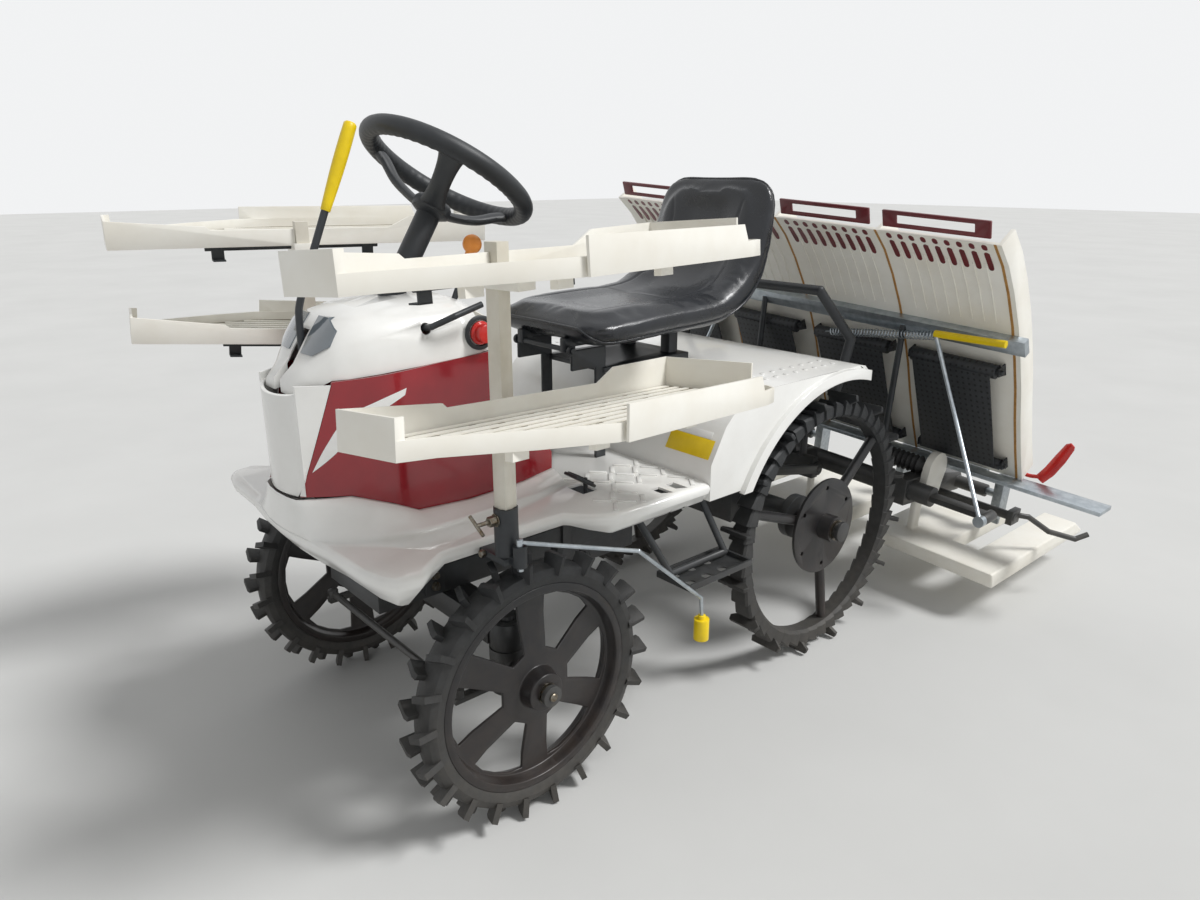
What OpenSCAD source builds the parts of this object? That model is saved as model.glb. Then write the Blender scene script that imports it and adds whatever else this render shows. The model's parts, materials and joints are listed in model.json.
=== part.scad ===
/* [Layout] */
// Distance from the front axle to the rear axle
wheelbase = 942; // [900:1:1000]
// Place of the front axle along Y, so that the machine is centred on the origin
axle_y = -806; // [-1000:1:-700]
// Height of the top of the tread floor
floor_z = 582; // [578:1:600]
// Height of the top of the rear deck
deck_z = 765; // [750:1:790]
// Half width of the tread floor beside the rear deck
floor_half = 400; // [390:1:405]

/* [Front wheels] */
// Radius over the lugs of a front wheel
front_r = 275; // [268:1:278]
// Distance from the centre line to the middle of a front tyre
front_x = 375; // [372:1:385]
// Width over the lugs of a front tyre
front_w = 80; // [70:1:84]
// Radius of the pressed steel wheel
rim_r = 214; // [205:1:220]
// Number of lugs on each side of a front tyre
front_lugs = 22; // [18:1:26]
// Radius of a wheel spindle
spindle_r = 15; // [13:0.5:18]
// Distance from the centre line to a kingpin
kingpin_x = 296; // [292:1:298]

/* [Rear wheels] */
// Distance from the centre line to the middle of a rear wheel
rear_x = 362; // [355:1:366]
// Radius of the middle of the rubber ring
rear_ring_r = 305; // [300:1:310]
// Height of the paddle lugs over the middle of the rubber ring
rear_lug_h = 43; // [36:1:46]
// Number of paddle lugs on a rear wheel
rear_lugs = 16; // [12:1:20]
// Radius of the hub disc
hub_disc_r = 127; // [110:1:135]

/* [Hood] */
// Half width of the hood at its widest
hood_half = 152; // [148:1:165]
// Height of the seam between the side panels and the top cover
hood_seam_z = 866; // [860:1:875]
// Height of the highest point of the top cover
hood_top_z = 998; // [990:1:1020]

/* [Driver's place] */
// Diameter of the steering wheel
steering_d = 370; // [340:1:390]
// Width of the seat
seat_w = 440; // [400:1:460]
// Height of the top of the seat back
seat_top_z = 1222; // [1200:1:1235]

/* [Seedling racks] */
// Distance from the centre line to a rack post
post_x = 384; // [380:1:392]
// Height of the top of a rack post
post_top_z = 1118; // [1110:1:1130]
// Height of the underside of the lower rack
rack_low_z = 832; // [826:1:840]
// Height of the underside of the upper rack
rack_high_z = 1066; // [1055:1:1072]
// Width of a rack
rack_w = 270; // [255:1:280]
// Turn of the racks about their posts as parked
rack_yaw = 12; // [8:1:14]

/* [Planting unit] */
// Distance between two planted rows
row_pitch = 330; // [320:1:332]
// Roll of the planting unit as parked, near side down
unit_roll = 3.5; // [0:0.5:4]
// Place of the sliding tray from its middle position
tray_shift = -95; // [-140:5:140]
// Length of the tray's guide rail
rail_l = 1640; // [1600:5:1660]
// Length of the lift links
link_l = 296; // [290:1:300]
// Radius of a planting rotor over its claws
rotor_r = 95; // [90:1:97]

/* [Hidden] */
$fn = 48;
run_gap = 0.05;
seat_gap = 0.3;
panel_t = 5;

rail_x0 = 70;
rail_x1 = 110;
rail_z0 = 380;
rail_z1 = 440;
frame_y0 = -180;
frame_y1 = wheelbase + 68;

hub_z = front_r;
rear_r = rear_ring_r + rear_lug_h;
rear_z = rear_r;
link_low = [frame_y1 + 40, 395];
link_rise = 150;
link_a0 = -11.7;
hitch_low = [link_low[0] + link_l * cos(link_a0), link_low[1] + link_l * sin(link_a0)];
roll_z = 340;
beam_y = link_low[0] + 382;
beam_r = 30;
rotor_y = beam_y + 288;
rotor_z = 300;
case_x = row_pitch;
tray_half = 2 * row_pitch + 10;
rail_y0 = beam_y + 148;
rail_y1 = rail_y0 + 80;
tray_line = [for (p = [[-210, 1100], [-147, 1046], [-87, 976], [-22, 884], [33, 788], [78, 700],
    [118, 605], [170, 496], [220, 402]]) [beam_y + p[0], p[1]]];
tray_t = 10;
guide_z = tray_line[len(tray_line) - 1][1] - tray_t * 0.5 - seat_gap;
slots = 9;
slot_d = (tray_line[1] - tray_line[0]) / norm(tray_line[1] - tray_line[0]);
slot_n = [-slot_d[1], slot_d[0]];

// Each slot through the head of the tray, from its start to its end along the slope
tray_slots = [for (c = [[8, 24], [36, 78]]) [for (k = [[c[0], 12], [c[1], 12], [c[1], -30], [c[0], -30]])
    tray_line[0] + slot_d * k[0] + slot_n * k[1]]];
function tray_under(i) = tray_line[i] + [-tray_t * 0.85, -tray_t * 0.5];
brace_d = (tray_under(4) - tray_under(3)) / norm(tray_under(4) - tray_under(3));
brace_n = [brace_d[1], -brace_d[0]];
brace_a = tray_under(3) + brace_n * seat_gap + brace_d * 30;
brace_b = brace_a + brace_d * 46;
brace = (brace_a + brace_b) / 2 + brace_n * 18;
brace_half = 600;
arm_x = 588;
belt_top = [beam_y + 14, 742];
belt_low = [beam_y + 162, 440];
hoop_y = wheelbase + 143;
float_z0 = 135;
float_z1 = 185;
post_y = -55;
socket_z1 = 660;
seat_hinge = [330, 846];
handle_pivot = [-236, 878];
floor_bars = [wheelbase - 642, wheelbase - 442];
deck_y0 = wheelbase - 472;
seat_low = 863;
marker_x = post_x + 40;

// A box from its low corner to its high corner
module box(a, b) {
    translate(a) cube(b - a);
}

// A straight round rod between two points
module rod(a, b, r) {
    v = b - a;
    h = norm(v);
    translate(a)
        rotate([0, acos(v[2] / h), atan2(v[1], v[0])])
            cylinder(r = r, h = h);
}

// A round rod bent through a list of points
module bent_rod(pts, r) {
    for (i = [0:len(pts) - 2]) rod(pts[i], pts[i + 1], r);
    for (i = [1:len(pts) - 2]) translate(pts[i]) sphere(r = r * 1.04);
}

// An outline in the Y, Z plane, carried along X from x0 to x1
module side_profile(pts, x0, x1) {
    translate([x0, 0, 0]) rotate([90, 0, 90]) linear_extrude(x1 - x0) polygon(pts);
}

// A cylinder along X
module x_rod(x0, x1, y, z, r) {
    translate([x0, y, z]) rotate([0, 90, 0]) cylinder(r = r, h = x1 - x0);
}

// A solid through rings of points, every ring with the same number of points
module loft(rings) {
    n = len(rings[0]);
    m = len(rings);
    sides = [for (i = [0:m - 2], j = [0:n - 1]) each [
        [i * n + j, i * n + (j + 1) % n, (i + 1) * n + (j + 1) % n],
        [i * n + j, (i + 1) * n + (j + 1) % n, (i + 1) * n + j]]];
    polyhedron([for (r = rings) each r],
        concat([[for (j = [n - 1:-1:0]) j]], sides, [[for (j = [0:n - 1]) (m - 1) * n + j]]));
}

// Left as drawn for side 1, mirrored for side -1
module on_side(side) {
    if (side > 0) children();
    else mirror([1, 0, 0]) children();
}

// The planting unit hangs from a pivot along Y and is parked rolled about it
module rolled() {
    translate([0, 0, roll_z]) rotate([0, unit_roll, 0]) translate([0, 0, -roll_z]) children();
}

module rolled_tray() {
    rolled() translate([tray_shift, 0, 0]) children();
}

// Chassis

module frame() {
    color("#2b2d30") {
        for (s = [-1, 1]) on_side(s) {
            box([rail_x0, frame_y0, rail_z0], [rail_x1, frame_y1, rail_z1]);
            difference() {
                box([58, frame_y1 - 12, 365], [rail_x0, frame_y1 + 68, 575]);
                x_rod(50, 80, link_low[0], link_low[1], 10 + run_gap);
                x_rod(50, 80, link_low[0], link_low[1] + link_rise, 10 + run_gap);
            }
        }
        box([-rail_x0, frame_y0, rail_z0], [rail_x0, frame_y0 + 30, rail_z1]);
        box([-rail_x0, frame_y1 - 30, rail_z0], [rail_x0, frame_y1, rail_z1]);
        for (s = [-1, 1], y = floor_bars) on_side(s) {
            box([rail_x1, y - 14, rail_z0 + 10], [rail_x1 + 8, y + 14, floor_z - panel_t - seat_gap]);
                box([rail_x1, y - 14, floor_z - 17 - seat_gap], [floor_half - 40, y + 14, floor_z - panel_t - seat_gap]);
        }
        for (s = [-1, 1]) on_side(s) difference() {
            side_profile([[frame_y0, rail_z1], [frame_y0 + 30, rail_z1], [handle_pivot[0] + 16, handle_pivot[1]],
                [handle_pivot[0] + 10, handle_pivot[1] + 12], [handle_pivot[0] - 10, handle_pivot[1] + 12],
                [handle_pivot[0] - 16, handle_pivot[1]]], 13, 18);
            x_rod(10, 20, handle_pivot[0], handle_pivot[1], 8 + run_gap);
        }
    }
}

module engine() {
    color("#3a3c40") difference() {
        box([-105, -150, rail_z1], [105, 150, 690]);
        for (s = [-1, 1]) translate([s * 105, 0, 690]) rotate([90, 0, 0])
            rotate([0, 0, 45]) translate([-20, -20, -160]) cube([40, 40, 320]);
    }
}

module transmission() {
    color("#33363a") {
        box([-65, 260, 300], [65, 560, rail_z1]);
        box([-rail_x1, 240, rail_z1], [rail_x1, 580, 535]);
    }
}

module front_axle() {
    color("#2b2d30") difference() {
        union() {
            box([-kingpin_x + 20, -35, 330], [kingpin_x - 20, 35, rail_z0]);
            for (s = [-1, 1]) translate([s * kingpin_x, 0, 326]) cylinder(r = 36, h = 58);
        }
        for (s = [-1, 1]) translate([s * kingpin_x, 0, 320]) cylinder(r = 14 + run_gap, h = 70);
    }
}

module rear_axle() {
    color("#2b2d30") {
        box([-120, wheelbase - 62, 292], [120, frame_y1 - 14, rail_z0]);
        for (s = [-1, 1]) on_side(s) {
            x_rod(120, 292, wheelbase, rear_z, 34);
            x_rod(276, 300, wheelbase, rear_z, 58);
            x_rod(300, 432, wheelbase, rear_z, 20 - run_gap);
            x_rod(430, 440, wheelbase, rear_z, 26);
        }
    }
}

// Steering

module knuckle(side) {
    color("#2b2d30") on_side(side) {
        translate([kingpin_x, 0, 300]) cylinder(r = 14 - run_gap, h = 92);
        translate([kingpin_x, 0, 230]) cylinder(r = 38, h = 95);
        x_rod(kingpin_x, kingpin_x + 36, 0, hub_z, 38);
        x_rod(kingpin_x + 36, 432, 0, hub_z, spindle_r - run_gap);
        x_rod(430, 440, 0, hub_z, 21);
        box([kingpin_x - 26, -122, 232], [kingpin_x - 8, -20, 244]);
    }
}

module tie_rod() {
    color("#2b2d30") {
        x_rod(-kingpin_x + 17, kingpin_x - 17, -110, 254, 8);
        for (s = [-1, 1]) translate([s * (kingpin_x - 17), -110, 244 + seat_gap]) cylinder(r = 12, h = 18);
    }
}

module front_disc(side) {
    color("#26282b") on_side(side) translate([front_x, 0, hub_z]) rotate([0, 90, 0])
    difference() {
        rotate_extrude($fn = 96) polygon([[spindle_r + run_gap, -40], [34, -40], [34, 6],
            [70, 6], [150, -6], [192, -6], [198, -26], [rim_r, -26], [rim_r, 26],
            [198, 26], [192, 2], [150, 2], [70, 14], [44, 16], [38, 46], [spindle_r + run_gap, 46]]);
        for (i = [0:5]) rotate([0, 0, 60 * i + 30]) translate([0, 0, -20]) linear_extrude(60)
            polygon([[78, -16], [78, 16], [172, 62], [184, 34], [187, 0], [184, -34], [172, -62]]);
    }
}

module front_tyre(side) {
    half = front_w / 2;
    color("#232527") on_side(side) translate([front_x, 0, hub_z]) rotate([0, 90, 0]) {
        rotate_extrude($fn = 96) polygon([[rim_r + seat_gap, -25], [232, -30], [246, -26],
            [251, -10], [251, 10], [246, 26], [232, 30], [rim_r + seat_gap, 25]]);
        for (i = [0:front_lugs - 1], s = [-1, 1])
            rotate([0, 0, (i + (s + 1) / 4) * 360 / front_lugs])
                translate([0, 0, s * 2]) rotate([s * 22, 0, 0]) translate([0, -6, 0])
                    rotate([-90, 0, 0]) linear_extrude(12)
                        polygon([[244, 0], [front_r - 3, 0], [front_r, -s * 8],
                            [front_r - 4, -s * half], [232, -s * (half - 6)], [240, -s * 20]]);
    }
}

column_foot = [0, -58, 972];
column_lean = 32;
column_l = 201.2;

module on_column(h) {
    translate(column_foot) rotate([-column_lean, 0, 0]) translate([0, 0, h]) children();
}

module steering_column() {
    color("#2f3236") on_column(0) difference() {
        cylinder(r = 24, h = column_l);
        translate([0, 0, column_l - 60]) cylinder(r = 10 + run_gap, h = 80);
    }
}

module steering_wheel() {
    r = steering_d / 2;
    color("#1d1f22") on_column(column_l + seat_gap) {
        translate([0, 0, -58]) cylinder(r = 10, h = 70);
        cylinder(r = 40, h = 30);
        translate([0, 0, 92]) rotate_extrude($fn = 96) translate([r - 15, 0]) circle(r = 15, $fn = 24);
        for (a = [90, 210, 330]) rotate([0, 0, a]) bent_rod([[20, 0, 20], [80, 0, 34], [r - 20, 0, 88]], 11);
    }
}

// Wheels at the rear

module rear_wheel(side) {
    color("#26282b") on_side(side) translate([rear_x, wheelbase, rear_z]) rotate([0, 90, 0]) {
        difference() {
            union() {
                translate([0, 0, -52]) cylinder(r = 34, h = 108);
                translate([0, 0, 14]) cylinder(r = hub_disc_r, h = 7, $fn = 96);
            }
            translate([0, 0, -60]) cylinder(r = 20 + run_gap, h = 130);
            for (i = [0:5]) rotate([0, 0, 60 * i]) translate([104, 0, 0]) cylinder(r = 6, h = 40);
        }
        for (i = [0:2]) rotate([0, 0, 120 * i + 10])
            rod([27, 0, 1], [rear_ring_r - 6, 0, 0], 13);
        rotate_extrude($fn = 96) polygon([[rear_ring_r - 13, -16], [rear_ring_r + 6, -16],
            [rear_ring_r + 6, 16], [rear_ring_r - 13, 16]]);
    }
}

module rear_lug_ring(side) {
    color("#232527") on_side(side) translate([rear_x, wheelbase, rear_z]) rotate([0, 90, 0]) {
        rotate_extrude($fn = 96) polygon([[rear_ring_r + 6 + seat_gap, -20], [rear_ring_r + 16, -20],
            [rear_ring_r + 16, 20], [rear_ring_r + 6 + seat_gap, 20]]);
        for (i = [0:rear_lugs - 1]) rotate([0, 0, (i + 0.5) * 360 / rear_lugs])
            translate([0, -5, 0]) rotate([-90, 0, 0]) linear_extrude(10)
                polygon([[rear_ring_r + 10, -17], [rear_r - 14, -45], [rear_r, -40], [rear_r, 40],
                    [rear_r - 14, 45], [rear_ring_r + 10, 17]]);
    }
}

// Body panels

// Faces and holes at the driver's end of the top cover
knob_x = 152;
lever_hole = [-52, 944];

function hood_half_at(y) = y < -100 ? hood_half - 82 * pow((-100 - y) / 205, 2) : hood_half;

hood_plan = [for (y = [-305:20.5:-100]) [hood_half_at(y), y], [hood_half, 20], [hood_half + 4, 150], [hood_half - 6, 235]];

floor_plan = [[0, -319], [96, -314], [180, -304], [floor_half - 100, -300], [floor_half - 48, -288],
    [floor_half - 24, -272], [floor_half - 12, -228], [floor_half - 46, -190], [floor_half - 70, -150],
    [floor_half - 70, 120], [floor_half - 30, 152], [floor_half, 200], [floor_half, deck_y0 + 60], [0, deck_y0 + 60]];
floor_ring = concat(floor_plan, [for (i = [len(floor_plan) - 2:-1:1]) [-floor_plan[i][0], floor_plan[i][1]]]);

// A closed outline moved inward by g, counted along both sides of each corner
function inset(p, g) = [for (i = [0:len(p) - 1])
    let (a = p[(i + len(p) - 1) % len(p)], b = p[i], c = p[(i + 1) % len(p)],
        u = (b - a) / norm(b - a), v = (c - b) / norm(c - b), m = [-u[1] - v[1], u[0] + v[0]])
    b + m * g / (1 + u * v)];

// The floor's outer form, or the hollow of it with a wall of t, rounding over from its rim to its top
module floor_form(t) {
    z1 = floor_z - t;
    intersection() {
        loft([for (k = [[z1 + 4, 22], [z1 - 1.5, 9], [z1 - 5, 3], [z1 - 12, 0], [z1 - 24, 4],
            [floor_z - 42, 18], [floor_z - 67 - t, 38 + 0.8 * t]])
            [for (q = inset(floor_ring, t + k[1])) [q[0], q[1], k[0]]]]);
        box([-500, -400, floor_z - 66 - 2 * t], [500, deck_y0 + 100, z1]);
    }
}

// Height of the cowl round the foot of the hood, over the floor
function cowl_h(y) = lookup(y, [[-320, 62], [-290, 64], [-220, 66], [-149, 40], [-97, 14], [-29, 5], [28, 9],
    [131, 15], [228, 24]]);

// Width of the cowl outside the hood
function cowl_w(y) = lookup(y, [[-320, 5], [-305, 10], [-284, 40], [-243, 66], [-190, 78], [20, 70], [150, 56], [235, 46]]);

cowl_line = concat([[0, -314], [40, -311]], hood_plan);

function cowl_ring(i) = let (a = cowl_line[max(0, i - 1)], b = cowl_line[i],
        c = cowl_line[min(len(cowl_line) - 1, i + 1)], u = (c - a) / norm(c - a), n = [u[1], -u[0]],
        w = cowl_w(b[1]), h = cowl_h(b[1]))
    [for (k = [[1, -4], [1, h], [1 + w * 0.12, h * 0.98], [1 + w * 0.32, h * 0.8], [1 + w * 0.56, h * 0.45],
        [1 + w * 0.78, h * 0.16], [1 + w, 0.5], [1 + w, -4]])
        [b[0] + n[0] * k[0], b[1] + n[1] * k[0], floor_z + k[1]]];

function flipped(ring) = [for (q = ring) [-q[0], q[1], q[2]]];

module cowl() {
    last = len(cowl_line) - 1;
    loft(concat([for (i = [last:-1:1]) cowl_ring(i)], [for (i = [0:last]) flipped(cowl_ring(i))]));
}

module floor() {
    color("#e9e9e6") {
        difference() {
            floor_form(0);
            floor_form(panel_t);
            side_profile([[-240, 500], [-196, 515], [-150, floor_z - 24], [130, floor_z - 24], [200, 535],
                [deck_y0 + 80, 535], [deck_y0 + 80, 500]], -500, 500);
            box([-rail_x1 - 12, -210, 500], [rail_x1 + 12, 185, 700]);
            box([214, 222, 500], [268, 262, 700]);
            for (s = [-1, 1]) on_side(s) box([200, post_y - 23, 500], [350, post_y + 23, floor_z - 12 + seat_gap]);
            for (y = [360, 404]) translate([0, 0, 500]) linear_extrude(200)
                polygon([[340, y - 12], [372, y - 12], [384, y + 12], [340, y + 12]]);
            box([-500, deck_y0, 500], [500, deck_y0 + 80, 600]);
        }
        cowl();
    }
}

module rear_deck() {
    arch_r = rear_r + 42;
    y0 = deck_y0 + seat_gap;
    color("#e9e9e6") {
        difference() {
            side_profile([[y0, 540], [y0, floor_z + 40], [y0 + 44, floor_z + 118], [y0 + 92, deck_z - 18],
                [y0 + 130, deck_z], [y0 + 545, deck_z], [y0 + 568, deck_z - 4], [y0 + 580, deck_z - 14],
                [y0 + 580, 540]], -floor_half, floor_half);
            side_profile([[y0 + 5, 530], [y0 + 5, floor_z + 38], [y0 + 49, floor_z + 115], [y0 + 96, deck_z - 23],
                [y0 + 132, deck_z - panel_t], [y0 + 543, deck_z - panel_t], [y0 + 565, deck_z - 9],
                [y0 + 575, deck_z - 18], [y0 + 575, 530]], -floor_half + panel_t, floor_half - panel_t);
            x_rod(-500, 500, wheelbase, rear_z, arch_r);
        }
        for (s = [-1, 1]) on_side(s) intersection() {
            difference() {
                x_rod(floor_half - 2, floor_half + 14, wheelbase, rear_z, arch_r + 26);
                x_rod(floor_half - 10, floor_half + 20, wheelbase, rear_z, arch_r);
            }
            box([0, y0 + 100, 535], [500, y0 + 578, deck_z + 20]);
        }
    }
}

module side_panel(side) {
    n = len(hood_plan);
    color("#8b1a24") on_side(side) intersection() {
        translate([0, 0, 500]) linear_extrude(500)
            polygon(concat(hood_plan, [for (i = [n - 1:-1:0]) hood_plan[i] - [panel_t, 0]]));
        side_profile([[-235, hood_seam_z - seat_gap], [100, seam(100) - seat_gap], [110, 790],
            [238, 640], [235, 606], [131, 597], [28, 591], [-29, 588], [-97, 596], [-149, 622], [-220, 648], [-298, 650]], 0, 300);
    }
}

module nose_cover() {
    color("#e6e1d0") intersection() {
        translate([0, 0, 600]) linear_extrude(300) difference() {
            polygon(concat([for (x = [-84:12:84]) [x, -312 + 22 * pow(x / 84, 2)]], [[84, -270], [-84, -270]]));
            polygon(concat([for (x = [-78:12:78]) [x, -306 + 22 * pow(x / 78, 2)]], [[78, -260], [-78, -260]]));
        }
        side_profile([[-320, 648], [-299 , 648], [-238, hood_seam_z - 6], [-320, 835]], -100, 100);
    }
}

function seam(y) = hood_seam_z + max(0, y + 235) * 22 / 335;

cover_sections = [[-290, 58, 838, 862], [-262, 82, 846, 888], [-232, 108, seam(-232), 935],
    [-205, 124, seam(-205), 972], [-150, 138, seam(-150), 985], [-60, 147, seam(-60), 995],
    [20, 151, seam(20), hood_top_z], [62, 148, seam(62), 985], [92, 140, seam(92), 940]];

function cover_ring(s, g) = [for (t = [0:11.25:180])
    let (c = cos(t), w = s[1] - g, h = s[3] - s[2] - g)
    [w * sign(c) * pow(abs(c), 0.6), s[0], s[2] + h * pow(max(0, sin(t)), 0.6)]];

module top_cover() {
    color("#e6e1d0") difference() {
        loft([for (s = cover_sections) cover_ring(s, 0)]);
        loft([for (s = [for (i = [1:len(cover_sections) - 2]) cover_sections[i]])
            [for (p = cover_ring(s, panel_t)) [p[0], p[1], p[2] - 0.1]]]);
        on_column(-80) cylinder(r = 24 + seat_gap, h = 300);
        rod([64, 8.5, 875], [78, 82, 1050], 6 + seat_gap);
        box([-14, -320, 820], [14, handle_pivot[0] + 15, 1010]);
        x_rod(100, 160, lever_hole[0], lever_hole[1], 11);
    }
    color("#e6e1d0") x_rod(120, knob_x, 58, 926, 30);
}

module headlamp() {
    color("#30343a") for (s = [-1, 1]) on_side(s) difference() {
        intersection() {
            loft([for (c = cover_sections) cover_ring(c, -4)]);
            translate([0, -280, 0]) rotate([-90, 0, 0]) linear_extrude(110)
                polygon([[22, -972], [60, -972], [96, -952], [98, -925], [70, -908], [26, -908]]);
        }
        loft([for (c = cover_sections) cover_ring(c, -seat_gap)]);
    }
}

module control_knob() {
    color("#c02020") {
        x_rod(knob_x + seat_gap, knob_x + 8, 58, 926, 23);
        x_rod(knob_x + 8, knob_x + 26, 58, 926, 18);
    }
}

module change_lever() {
    color("#f0943a") {
        rod([70, 40, 950], [78, 82, 1050], 6);
        rod([78, 82, 1050], [80, 92, 1072], 10);
        translate([81, 96, 1088]) sphere(r = 19);
    }
    color("#202224") bent_rod([[118, lever_hole[0], lever_hole[1]], [158, lever_hole[0] + 2, lever_hole[1] + 6],
        [178, lever_hole[0] + 40, lever_hole[1] + 24], [186, lever_hole[0] + 96, lever_hole[1] + 42]], 6);
}

module seat_mount() {
    color("#26282b") {
        box([-110, 420, deck_z + 20], [110, 700, deck_z + 32]);
        for (s = [-1, 1]) on_side(s) {
            box([80, 620, deck_z], [110, 700, deck_z + 20]);
            difference() {
                union() {
                    box([96, seat_hinge[0], 800], [104, 430, seat_hinge[1]]);
                    x_rod(96, 104, seat_hinge[0], seat_hinge[1], 11);
                }
                x_rod(80, 120, seat_hinge[0], seat_hinge[1], 6 + run_gap);
            }
            box([96, 400, floor_z], [104, 430, 800]);
            box([60, 650, deck_z + 32], [90, 680, seat_low + seat_top_z - 1222]);
        }
    }
}

// Stations along the seat from its front lip to the top of its back: place, thickness, half width
seat_line = [[316, 908, 26, 0.80], [330, 899, 60, 0.89], [365, 895, 72, 0.96], [450, 898, 78, 1],
    [560, 901, 78, 1], [660, 903, 78, 1], [740, 914, 84, 0.99], [800, 942, 90, 0.985], [846, 990, 84, 0.97],
    [874, 1052, 70, 0.95], [890, 1115, 60, 0.93], [900, 1170, 50, 0.88], [903, 1204, 34, 0.8], [903, 1218, 10, 0.72]];

function seat_ring(i) = let (a = seat_line[max(0, i - 1)], b = seat_line[i],
        c = seat_line[min(len(seat_line) - 1, i + 1)], v = [c[0] - a[0], c[1] - a[1]], u = v / norm(v), n = [-u[1], u[0]])
    [for (t = [0:15:345]) let (e = b[2] / 2 * sign(sin(t)) * pow(abs(sin(t)), 0.5))
        [seat_w / 2 * b[3] * sign(cos(t)) * pow(abs(cos(t)), 0.5), b[0] + n[0] * e, b[1] + (seat_top_z - 1222) + n[1] * e]];

module seat() {
    color("#1c2027") {
        loft([for (i = [0:len(seat_line) - 1]) seat_ring(i)]);
        x_rod(-108, 108, seat_hinge[0], seat_hinge[1], 6);
        for (s = [-1, 1]) on_side(s) box([70, 322, 840], [90, 352, 872]);
    }
}

module walk_handle() {
    color("#2b2d30") {
        bent_rod([[0, handle_pivot[0], handle_pivot[1]], [0, handle_pivot[0], 1000], [0, -165, 1160]], 9);
        x_rod(-12, 12, handle_pivot[0], handle_pivot[1], 12);
        x_rod(-20, 20, handle_pivot[0], handle_pivot[1], 8);
    }
    color("#f2d20a") rod([0, -166, 1158], [0, -102, 1310], 12);
}

module guard_hoop() {
    color("#1d1f22") {
        bent_rod([[290, hoop_y - 17, 620], [290, hoop_y + 48, 800], [215, hoop_y, 925],
            [-215, hoop_y, 925], [-290, hoop_y + 48, 800], [-290, hoop_y - 17, 620]], 13);
        for (s = [-1, 1]) on_side(s) box([272, hoop_y - 35, 598], [308, hoop_y - 13, 642]);
    }
}

module lever_guide() {
    y = hoop_y + 95;
    color("#e6e1d0") difference() {
        side_profile([[hoop_y + 13 + seat_gap, 840], [y, 830], [y + 35, 900], [y, 1010], [y - 60, 1010],
            [hoop_y + 13 + seat_gap, 960]], -205, -197);
        side_profile([[y - 45, 850], [y - 35, 850], [y - 5, 905], [y - 20, 970], [y - 30, 970], [y - 15, 905]], -230, -180);
    }
}

module step(side) {
    y0 = floor_bars[0] + 82;
    y1 = floor_bars[1] + 60;
    color("#2b2d30") on_side(side) {
        bent_rod([[floor_half - 70, floor_bars[0], floor_z - 32], [floor_half - 28, y0, 386],
            [floor_half - 28, y1, 386], [floor_half - 70, floor_bars[1], floor_z - 32]], 8);
        for (y = floor_bars) box([floor_half - 82, y - 12, floor_z - 38], [floor_half - 58, y + 12, floor_z - 24]);
        difference() {
            box([floor_half - 60, y0 - 10, 370], [floor_half + 40, y1 + 18, 384]);
            box([floor_half - 54, y0 - 4, 374], [floor_half + 34, y1 + 12, 390]);
            for (y = [y0 + 20:52:y1 - 10], x = [floor_half - 44, floor_half + 4]) translate([x + 10, y, 360])
                cylinder(r = 12, h = 30);
        }
    }
}

// Racks

module rack_bracket(side) {
    color("#26282b") on_side(side) difference() {
        union() {
            box([rail_x1, post_y - 22, rail_z0 + 10], [rail_x1 + 10, post_y + 22, 568]);
            box([rail_x1, post_y - 22, 558], [post_x + 22, post_y + 22, floor_z - 12]);
            translate([post_x, post_y, 558]) cylinder(r = 22, h = socket_z1 - 558);
            box([post_x, post_y - 10, 558], [marker_x, post_y + 10, 574]);
            translate([marker_x, post_y, 558]) cylinder(r = 13, h = 40);
        }
        translate([post_x, post_y, floor_z - 8]) cylinder(r = 15 + run_gap, h = 100);
        translate([marker_x, post_y, 550]) cylinder(r = 6 + run_gap, h = 60);
    }
}

module rack_post(side) {
    color("#e6e1d0") on_side(side) {
        translate([post_x, post_y, floor_z - 7]) cylinder(r = 15, h = 90);
        translate([post_x, post_y, 0]) rotate([0, 0, rack_yaw])
            box([-14, -14, socket_z1 + seat_gap], [14, 14, post_top_z]);
    }
}

// Each rack: height, place beside the post, turn about the post, tilt along and across
rack_seats = [[rack_low_z, 42, 4, rack_yaw + 1, -5.3, -3.2], [rack_high_z, -4, -11, rack_yaw - 1, -0.7, -4.4]];
rack_front = -377;
rack_rear = 454;
rack_wall = 28;
rack_tall = 56;

// Rack outline seen from above, with the inner edge on the left
rack_plan = [[0, rack_front], [rack_w - 154, rack_front], [rack_w - 137, -321], [rack_w - 66, -200], [rack_w - 12, -88],
    [rack_w, 0], [rack_w, 380], [rack_w - 8, 424], [rack_w - 30, 447], [rack_w - 62, rack_rear], [0, rack_rear]];

module rack() {
    inner = inset(rack_plan, panel_t);
    bed = inset(rack_plan, 14);
    difference() {
        linear_extrude(rack_wall) polygon(rack_plan);
        translate([0, 0, 8]) linear_extrude(60) polygon(inner);
        intersection() {
            translate([0, 0, -5]) linear_extrude(30) polygon(bed);
            for (i = [0:9], k = [-3:2]) let (x = 24 + i * 23.5, y = k * 138 + (i % 2) * 40)
                box([x, y, -10], [x + 10, y + 122, 20]);
        }
    }
    box([0, rack_front, 0], [rack_w - 154, rack_front + panel_t, rack_tall + 2]);
    box([rack_w - 154 - panel_t, rack_front, 0], [rack_w - 154, rack_front + 16, rack_tall + 2]);
    side_profile([[rack_front, 0], [rack_front, rack_tall + 2], [rack_front + 190, 44], [rack_front + 200, 36],
        [210, 36], [262, rack_tall + 6], [rack_rear, rack_tall + 12], [rack_rear, 0]], 0, panel_t);
    box([0, rack_rear - panel_t, 0], [rack_w - 70, rack_rear, rack_tall + 12]);
    side_profile([[-78, 0], [-78, rack_tall], [354, rack_tall], [366, rack_wall], [366, 0]], rack_w - panel_t, rack_w);
}

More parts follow.
